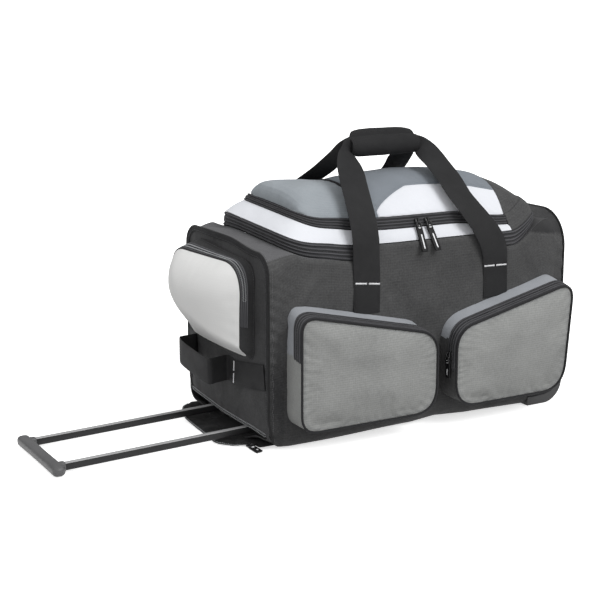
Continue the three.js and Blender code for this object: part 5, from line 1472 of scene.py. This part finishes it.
def grip_wrap():
    """The padded wrap closed round both handles: two soft rolls with a crease between them."""
    left, right = -71.0, 73.0
    angle = np.linspace(0, 2 * math.pi, 96, endpoint=False)
    c, s = np.cos(angle), np.sin(angle)
    middle = np.array([0.0, 0.0, 545.0])
    reach = []
    for at_y, at_z, radius in ((-11.0, -6.0, 20.5), (10.0, 8.0, 18.5)):
        toward = at_y * c + at_z * s
        aside = at_y * s - at_z * c
        reach.append(toward + np.sqrt(np.maximum(radius**2 - aside**2, 16)))
    profile = np.log(np.exp(reach[0] / 1.1) + np.exp(reach[1] / 1.1)) * 1.1
    rings = []
    for share in np.linspace(0, 1, 81):
        out = np.abs(lerp(left, right, share) / right)
        size = profile * (1 - 0.07 * out**6) - 1.4 * out**3
        near = ease(10 - size * c, 0, 21)
        along = lerp(lerp(-61, 66, share), lerp(-84, 74, share), near)
        points = np.stack([along, size * c, size * s], -1)
        soft = 0.9 * relief(points, 34, 141) + 0.5 * relief(points, 14, 143)
        rings.append(points + np.stack([0 * c, c, s], -1) * soft[:, None] + middle)
    outer = np.array(rings)
    spoke = (outer - middle) * np.array([0, 1, 1])
    inner = outer - unit(spoke) * 4.0
    piece = loft("grip_wrap_pad", np.concatenate([outer, inner[::-1]]), closed=True)
    dress(piece, WRAP, "black_cloth", "grip_wrap")
    for at in (3, 77):
        lay_row("black_stitches", outer[at], outer[at] - middle, 0.2, closed=True)
    crease = int(np.argmin(np.where(s > 0, profile, 99)))
    for beside in (-5, 5):
        lay_row("black_stitches", outer[3:-3, crease + beside], spoke[3:-3, crease + beside], 0.2)


def grab_handle():
    """The short webbing handle on the left end, standing off the cloth."""
    stations = []
    for y, off in GRAB_STATIONS:
        z = float(np.interp(y, [-165, -105, -60, -46, 101, 160], [144, 137, 132, 136, 146, 147]))
        stations.append((float(end_panel_x(-1, y, z)) - 0.8 - WEBBING / 2 - off, y, z))
    path = smooth_path(stations, 260)
    tangent = unit(np.gradient(path, axis=0))
    half = np.array([0.0, 0.0, 1.0]) - tangent * tangent[:, 2:3]
    half = unit(half) * 25.0
    outward = unit(np.cross(tangent, half))
    if outward[len(outward) // 2, 0] > 0:
        outward = -outward
    piece = ribbon("grab_handle_webbing", path, half, outward, WEBBING, 13)
    dress(piece, WEB, "webbing", "grab_handle")
    for lo, hi in ((-158, -74), (118, 158)):
        leg = (path[:, 1] > lo) & (path[:, 1] < hi)
        for edge in (-0.86, 0.86):
            lay_row("black_stitches", path[leg] + half[leg] * edge, outward[leg], WEBBING / 2 + 0.2)
    tack = np.argmin(np.abs(path[:, 1] + 60))
    for lo, hi in ((-0.84, -0.1), (0.14, 0.88)):
        across = np.linspace(lo, hi, 12)[:, None]
        lay_row("bar_tacks", path[tack] + half[tack] * across, outward[tack], WEBBING / 2 + 0.3)


# ---------------------------------------------------------------- zip pulls
def rounded_box(size, bevel, at):
    work = bmesh.new()
    bmesh.ops.create_cube(work, size=1.0)
    bmesh.ops.scale(work, vec=Vector(size), verts=work.verts)
    bmesh.ops.bevel(
        work, geom=list(work.edges), offset=bevel, segments=3, affect="EDGES", profile=0.5, clamp_overlap=True)
    bmesh.ops.translate(work, vec=Vector(at), verts=work.verts)
    mesh = bpy.data.meshes.new("part")
    work.to_mesh(mesh)
    work.free()
    return mesh


def place_part(name, mesh, matrix):
    """A mesh drawn in mm, set in place by a matrix in mm."""
    mesh.transform(matrix)
    mesh.transform(Matrix.Scale(MM, 4))
    return set_out(name, mesh, 40)


def zip_pull(node, at, turn, tag_length):
    """A slider with its bridge, a ring and a rubber tag with a pale insert."""
    matrix = (Matrix.Translation(at) @ Matrix.Rotation(turn[0], 4, "X") @ Matrix.Rotation(turn[1], 4, "Y")
              @ Matrix.Rotation(turn[2], 4, "Z"))
    slider = place_part(node + "_slider", rounded_box((11, 4.4, 11), 1.6, (0, -2.5, 0)), matrix)
    bend = np.linspace(0, math.pi, 14)
    bridge_path = np.stack([0 * bend, -4.4 - 2.6 * np.sin(bend), 4.2 * np.cos(bend)], -1)
    ring_bend = np.linspace(0, 2 * math.pi, 25)[:-1]
    ring_path = np.stack([5.2 * np.cos(ring_bend), -5.2 + 0 * ring_bend, -8.6 + 5.2 * np.sin(ring_bend)], -1)

    def world(path):
        return np.array([list(matrix @ Vector(p)) for p in path])

    turned = matrix.to_3x3()
    bridge = tube(node + "_bridge", world(bridge_path), 1.3, up=tuple(turned @ Vector((1, 0, 0))), sides=8)
    ring = tube(node + "_ring", world(ring_path), 1.7, up=tuple(turned @ Vector((0, -1, 0))), sides=8, closed=True)
    metal = joined(node + "_metal", [slider, bridge, ring])
    dress(metal, SLIDER, "zip_pull", node)
    tag = place_part(node + "_tag", rounded_box((14, 3.6, tag_length), 1.6, (0, -2.6, -9 - tag_length / 2)), matrix)
    dress(tag, RUBBER_PULL, "zip_pull", node)
    stripe = rounded_box((2.8, 1.0, tag_length - 26), 0.45, (0, -4.6, -16 - tag_length / 2))
    pale = [place_part(node + "_stripe", stripe, matrix)]
    button = bpy.data.meshes.new("button")
    work = bmesh.new()
    bmesh.ops.create_uvsphere(work, u_segments=20, v_segments=10, radius=3.4)
    bmesh.ops.scale(work, vec=Vector((1, 0.45, 1)), verts=work.verts)
    bmesh.ops.translate(work, vec=Vector((0, -4.6, -14)), verts=work.verts)
    work.to_mesh(button)
    work.free()
    pale.append(place_part(node + "_rivet", button, matrix))
    dress(joined(node + "_insert", pale), PALE_INSERT, "zip_pull", node)


# ---------------------------------------------------------------- handle bay
def bay_flap():
    """The bay's open flap, lying on the floor in soft folds, with zip teeth along its edge."""
    rows = smooth_path([(y, reach, lift) for y, reach, lift in FLAP_STATIONS], 110)
    t = np.linspace(0, 1, 30)
    y = np.broadcast_to(rows[:, :1], (110, 30))
    x = -348.0 - (rows[:, 1:2] + 2.0) * t
    points = np.stack([x, y, 0 * x], -1)
    z = 2.4 + rows[:, 2:3] * t**2 + 8.0 * ease(rows[:, :1], 128, 166) * (1 - t)
    z = z + 7.0 * np.abs(relief(points, 22, 151)) * np.sin(np.pi * t) ** 0.7 + 1.8 * np.abs(relief(points, 10, 153)) * t
    skin = np.stack([x, y, z], -1)
    piece = shell("bay_flap_cloth", skin, 1.2, core=(-380, 0, -200))
    dress(piece, BLACK_CLOTH, "black_cloth", "bay_flap")
    # painted highlight: a pale line of coil along the flap's zip
    lay_row("highlight_teeth", skin[2:-2, -2], (0, 0, 1), 0.4)


def bay_lip():
    """The hem of the lip over the bay's mouth, with its zip teeth."""
    y = np.linspace(-158, 154, 90)
    z = lip_height(y) + 1.5
    path = np.stack([end_panel_x(-1, y, z) - 0.8, y, z], -1)
    cord = tube("bay_lip_hem", path + np.array([0.6, 0, 0]), 1.6, up=(0, 0, 1), sides=10)
    dress(cord, BLACK_CLOTH, "black_cloth")
    # painted highlight: two pale lines of coil along the lip's zip
    lay_row("highlight_teeth", path, (-1, 0, 0), 0.6)
    lay_row("highlight_teeth", path + np.array([-0.4, 0, 5.0]), (-1, 0, 0), 0.6)


def bay_lining():
    """The dark lining on the bay's floor."""
    along, across = np.meshgrid(np.linspace(-353, -250, 40), np.linspace(-152, 166, 92), indexing="ij")
    points = np.stack([along, across, 0 * along], -1)
    rise = 9.0 * ease(np.abs(across), 128, 166)
    skin = np.stack([along, across, 2.2 + 0.9 * np.abs(relief(points, 22, 161)) + rise], -1)
    lining = shell("bay_lining_cloth", skin, 1.2, core=(-300, 0, -200))
    dress(lining, BLACK_CLOTH, "black_cloth")


# ---------------------------------------------------------------- pull handle and wheels
def trolley(points):
    """From the pull handle's own frame, along its slide, to the bag's."""
    points = np.asarray(points, float)
    c, s = math.cos(TROLLEY_TILT), math.sin(TROLLEY_TILT)
    return np.stack([
        TROLLEY_MOUTH + c * points[..., 0] - s * points[..., 2],
        points[..., 1],
        TROLLEY_HEIGHT + s * points[..., 0] + c * points[..., 2],
    ], -1)


def rounded_section(width, height, corner, per):
    """A rounded oblong; `per` points make each corner."""
    bend = np.linspace(0, math.pi / 2, per)
    out = []
    for sx, sy, start in ((1, 1, 0), (-1, 1, 1), (-1, -1, 2), (1, -1, 3)):
        angle = bend + start * math.pi / 2
        across = sx * (width / 2 - corner) + corner * np.cos(angle)
        up = sy * (height / 2 - corner) + corner * np.sin(angle)
        out.append(np.stack([across, up], -1))
    return np.concatenate(out)


def slide_bar(name, section, y, stations):
    """A bar along the handle's slide, through stations of (place, size of its section)."""
    rings = [
        np.stack([np.full(len(section), at), y + section[:, 0] * size, section[:, 1] * size], -1)
        for at, size in stations
    ]
    return loft(name, trolley(np.array(rings)))


def rod(name, y):
    """One rod of the pull handle, with a painted highlight on its upward faces."""
    stations = [(-372, 0.9), (-371, 1), (-300, 1), (-100, 1), (0, 1), (149, 1), (150, 0.9)]
    piece = slide_bar(name + "_tube", rounded_section(ROD_WIDTH, ROD_HEIGHT, 2.4, 6), y, stations)
    dress(piece, TUBE, "tube", name, body="pull_handle")
    # painted highlight: faces turned upwards get the light tone
    piece.data.materials.append(PAINTED_HIGHLIGHT_TUBE)
    for face in piece.data.polygons:
        face.material_index = int(face.normal.z > 0.6)


def rod_guide(name, y):
    """Two rails in the bay that a rod slides between."""
    section = rounded_section(RAIL_WIDTH, RAIL_HEIGHT, 1.2, 4)
    stations = [(24, 1), (200, 1), (420, 1), (634, 1)]
    rails = [slide_bar("rail", section, y + side * RAIL_SIDE, stations) for side in (-1, 1)]
    dress(joined(name + "_rails", rails), TUBE, "tube", name)


def pull_grip():
    """The moulded bar across the rods, with a collar round each rod."""
    straight, tip = 95.0, 107.0
    rounding = np.linspace(straight, tip, 12)
    y = np.concatenate([-rounding[::-1], np.linspace(-straight, straight, 40)[1:-1], rounding])
    past = np.clip((np.abs(y) - straight) / (tip - straight), 0, 1)
    swell = np.sqrt(np.maximum(0.02, 1 - past**2.4))
    angle = np.linspace(0, 2 * math.pi, 36, endpoint=False)
    rings = []
    for at, size in zip(y, swell):
        c, s = np.cos(angle), np.sin(angle)
        fit = (np.abs(c) ** 2.8 + np.abs(s) ** 2.8) ** (-1 / 2.8)
        waist = 1 - 0.05 * math.cos(min(1, abs(at) / 90) * math.pi / 2)
        rings.append(np.stack([
            -382.0 + 12 * size * waist * c * fit, np.full_like(angle, at), 10 * size * waist * s * fit], -1))
    parts = [loft("grip_bar", trolley(np.array(rings)))]
    section = rounded_section(SOCKET_WIDTH, SOCKET_HEIGHT, 4.5, 7)
    stations = [(-384, 0.96), (-372, 1), (-367, 0.98), (-365, 0.93), (-364.4, 0.84)]
    for side in (-1, 1):
        parts.append(slide_bar("collar", section, side * ROD_SIDE, stations))
    piece = joined("pull_grip_moulding", parts)
    dress(piece, MOULDED, "moulded_grip", "pull_grip", body="pull_handle")


def wheel(node, sign):
    """A ribbed tyre on a dished hub."""
    tyre = [  # radius, place along the axle
        (14.2, -11.0), (22, -11.6), (27, -11.2), (29.6, -9.6), (30.8, -6.6), (31.0, -3.2), (30.2, -2.4), (30.2, -1.2),
        (31.0, -0.6), (31.0, 0.6), (30.2, 1.2), (30.2, 2.4), (31.0, 3.2), (30.8, 6.6), (29.6, 9.6), (27, 11.2),
        (22, 11.6), (14.2, 11.0),
    ]
    hub = [
        (3.6, -9.0), (6.5, -9.2), (7.5, -8.2), (11, -8.0), (12.5, -10.4), (14.1, -10.6),
        (14.1, 10.6), (12.5, 10.4), (11, 8.0), (7.5, 8.2), (6.5, 9.2), (3.6, 9.0),
    ]
    angle = np.linspace(0, 2 * math.pi, 64, endpoint=False)
    for profile, finish, label, slot in ((tyre, RUBBER, "tyre", "tyre"), (hub, PLASTIC, "hub", "chassis_plastic")):
        radius, along = np.array(profile).T
        rows = np.stack([
            WHEEL_X + radius * np.cos(angle)[:, None],
            np.broadcast_to(sign * WHEEL_Y + along, (len(angle), len(along))),
            WHEEL_Z + radius * np.sin(angle)[:, None],
        ], -1)
        piece = loft(f"{node}_{label}", rows, closed=True)
        dress(piece, finish, slot, node, body=node)


def plain_solids():
    """Solids whose form is already right keep it and get a finish."""
    for node, finish in (("chassis", PLASTIC), ("axle_near", STEEL), ("axle_far", STEEL)):
        thing = frame["nodes"][node]
        thing.data.materials.clear()
        thing.data.materials.append(finish)


def corner_bindings(edges):
    """Binding along the cloth's edge over each wheel housing."""
    cords = [tube("binding", edge, 1.8, up=(0, 1 if edge[0, 1] > 0 else -1, 0), sides=8) for edge in edges]
    dress(joined("wheel_corner_binding", cords), PIPING, "black_cloth")


# ---------------------------------------------------------------- stage
def studio():
    """White paper, an even sky and three broad lights."""
    paper_glow, sky_seen, sky_light = 0.62, 0.9, 0.31
    floor_mesh = bpy.data.meshes.new("floor")
    corners = [(sx * r, sy * r, 0) for r in (20, 3000) for sx, sy in ((-1, -1), (1, -1), (1, 1), (-1, 1))]
    around = [(k, (k + 1) % 4, (k + 1) % 4 + 4, k + 4) for k in range(4)]
    floor_mesh.from_pydata(corners, [], [(0, 1, 2, 3)] + [face[::-1] for face in around])
    floor = bpy.data.objects.new("floor", floor_mesh)
    scene.collection.objects.link(floor)
    paper = Finish("white_paper", roughness=0.9, specular=0.1)
    paper.colour(paper.mottle(0.6), (250, 250, 250), (254, 254, 254))
    paper.surface["Emission Color"].default_value = (1, 1, 1, 1)
    paper.surface["Emission Strength"].default_value = paper_glow
    floor_mesh.materials.append(paper.material)
    floor.visible_diffuse = False
    world = bpy.data.worlds.new("studio")
    world.use_nodes = True
    sky = world.node_tree.nodes["Background"]
    sky.inputs["Color"].default_value = (1, 1, 1, 1)
    seen = add_node(world.node_tree, "ShaderNodeLightPath", {}).outputs["Is Camera Ray"]
    shares = {0: seen, 1: sky_seen, 2: sky_light}
    strength = add_node(world.node_tree, "ShaderNodeMath", shares, operation="MULTIPLY_ADD")
    world.node_tree.links.new(strength.outputs[0], sky.inputs["Strength"])
    scene.world = world

    def lamp(name, toward, share, spread):
        """A broad soft light from a direction; `share` is what it gives a surface that faces it."""
        light = bpy.data.lights.new(name, "SUN")
        light.energy = math.pi * share
        light.angle = math.radians(spread)
        holder = bpy.data.objects.new(name, light)
        holder.rotation_euler = Vector(toward).to_track_quat("Z", "Y").to_euler()
        scene.collection.objects.link(holder)

    lamp("key", (0.30, -0.68, 0.67), 0.62, 36)
    lamp("overhead", (-0.1, -0.15, 0.98), 0.34, 150)
    lamp("left_fill", (-0.88, -0.30, 0.36), 0.26, 100)


def photo_camera():
    """The camera that was fitted to the photo."""
    lens = bpy.data.cameras.new("photo_camera")
    lens.lens = 80.38
    lens.sensor_width = 36.0
    lens.dof.use_dof = False
    lens.clip_end = 9000
    camera = bpy.data.objects.new("photo_camera", lens)
    camera.location = (-1.47005, -2.24901, 0.82037)
    camera.rotation_euler = (math.radians(90 - 12.624), 0, math.radians(-29.686))
    scene.collection.objects.link(camera)
    scene.camera = camera


# ---------------------------------------------------------------- putting it together
wheel_edges = body_panel()
end_panel(-1)
end_panel(1)
end_piping(-1)
end_piping(1)
top_shelf(-1)
top_shelf(1)
zip_band("lower_zip_left_tape", "lower_zip_left", (-144, False), (-144, True), 0.02, 0.98, 170)
zip_band("lower_zip_right_tape", "lower_zip_right", (161, True), (161, False), 0.02, 0.98, 150)
white_band()
zip_band("lid_zip_tape", "lid_zip", (WING_X - 0.3, False), (WING_X - 0.3, True), 2.02, 2.98, 300)
wing_side()
crown()
pocket("left")
pocket("right")
end_pocket()
carry_handle("front")
carry_handle("back")
grip_wrap()
grab_handle()
bay_flap()
bay_lip()
bay_lining()
zip_pull("lid_pull_1", (-15, -148.95, 405.1), (-0.57, 0.06, 0), 56.0)
zip_pull("lid_pull_2", (8, -148.95, 405.1), (-0.57, -0.06, 0), 56.0)
zip_pull("flap_pull", (-366, -121.3, 1), (-math.pi / 2, 0, -0.1), 32.0)
for side, sign in (("left", 1), ("right", -1)):
    place = POCKETS[side]["inner"] + sign * 4.2, -float(half_depth(0)) - 0.68 * POCKET_DEPTH, 150
    zip_pull(side + "_pocket_pull", place, (0, 0, sign * math.pi / 2), 38.0)
for where, y in (("near", -ROD_SIDE), ("far", ROD_SIDE)):
    rod("rod_" + where, y)
    rod_guide("sleeve_" + where, y)
pull_grip()
wheel("wheel_near", -1)
wheel("wheel_far", 1)
plain_solids()
corner_bindings(wheel_edges)
for row in (  # kind, finish, slot, a bead's length, width and height, then the rows' pitch and stagger
    ("dark_stitches", DARK_THREAD, "charcoal_cloth", 3.4, 0.9, 0.7, 4.6, 0.0),
    ("seam_stitches", SEAM_THREAD, "charcoal_cloth", 3.8, 0.8, 0.6, 4.2, 0.0),
    ("black_stitches", BLACK_THREAD, "black_cloth", 3.0, 0.8, 0.7, 4.2, 0.0),
    ("grey_stitches", GREY_THREAD, "grey_ripstop", 3.0, 0.8, 0.6, 4.2, 0.0),
    ("bar_tacks", WHITE_THREAD, "white_cloth", 1.0, 4.4, 1.0, 0.9, 0.0),
    ("zip_teeth", COIL, "black_cloth", 1.5, 3.6, 1.6, 2.1, 1.5),
    ("highlight_teeth", HIGHLIGHT_COIL, "black_cloth", 1.4, 2.8, 1.4, 2.2, 1.2),
):
    make_rows(*row)
studio()
photo_camera()
scene.view_settings.view_transform = "Standard"
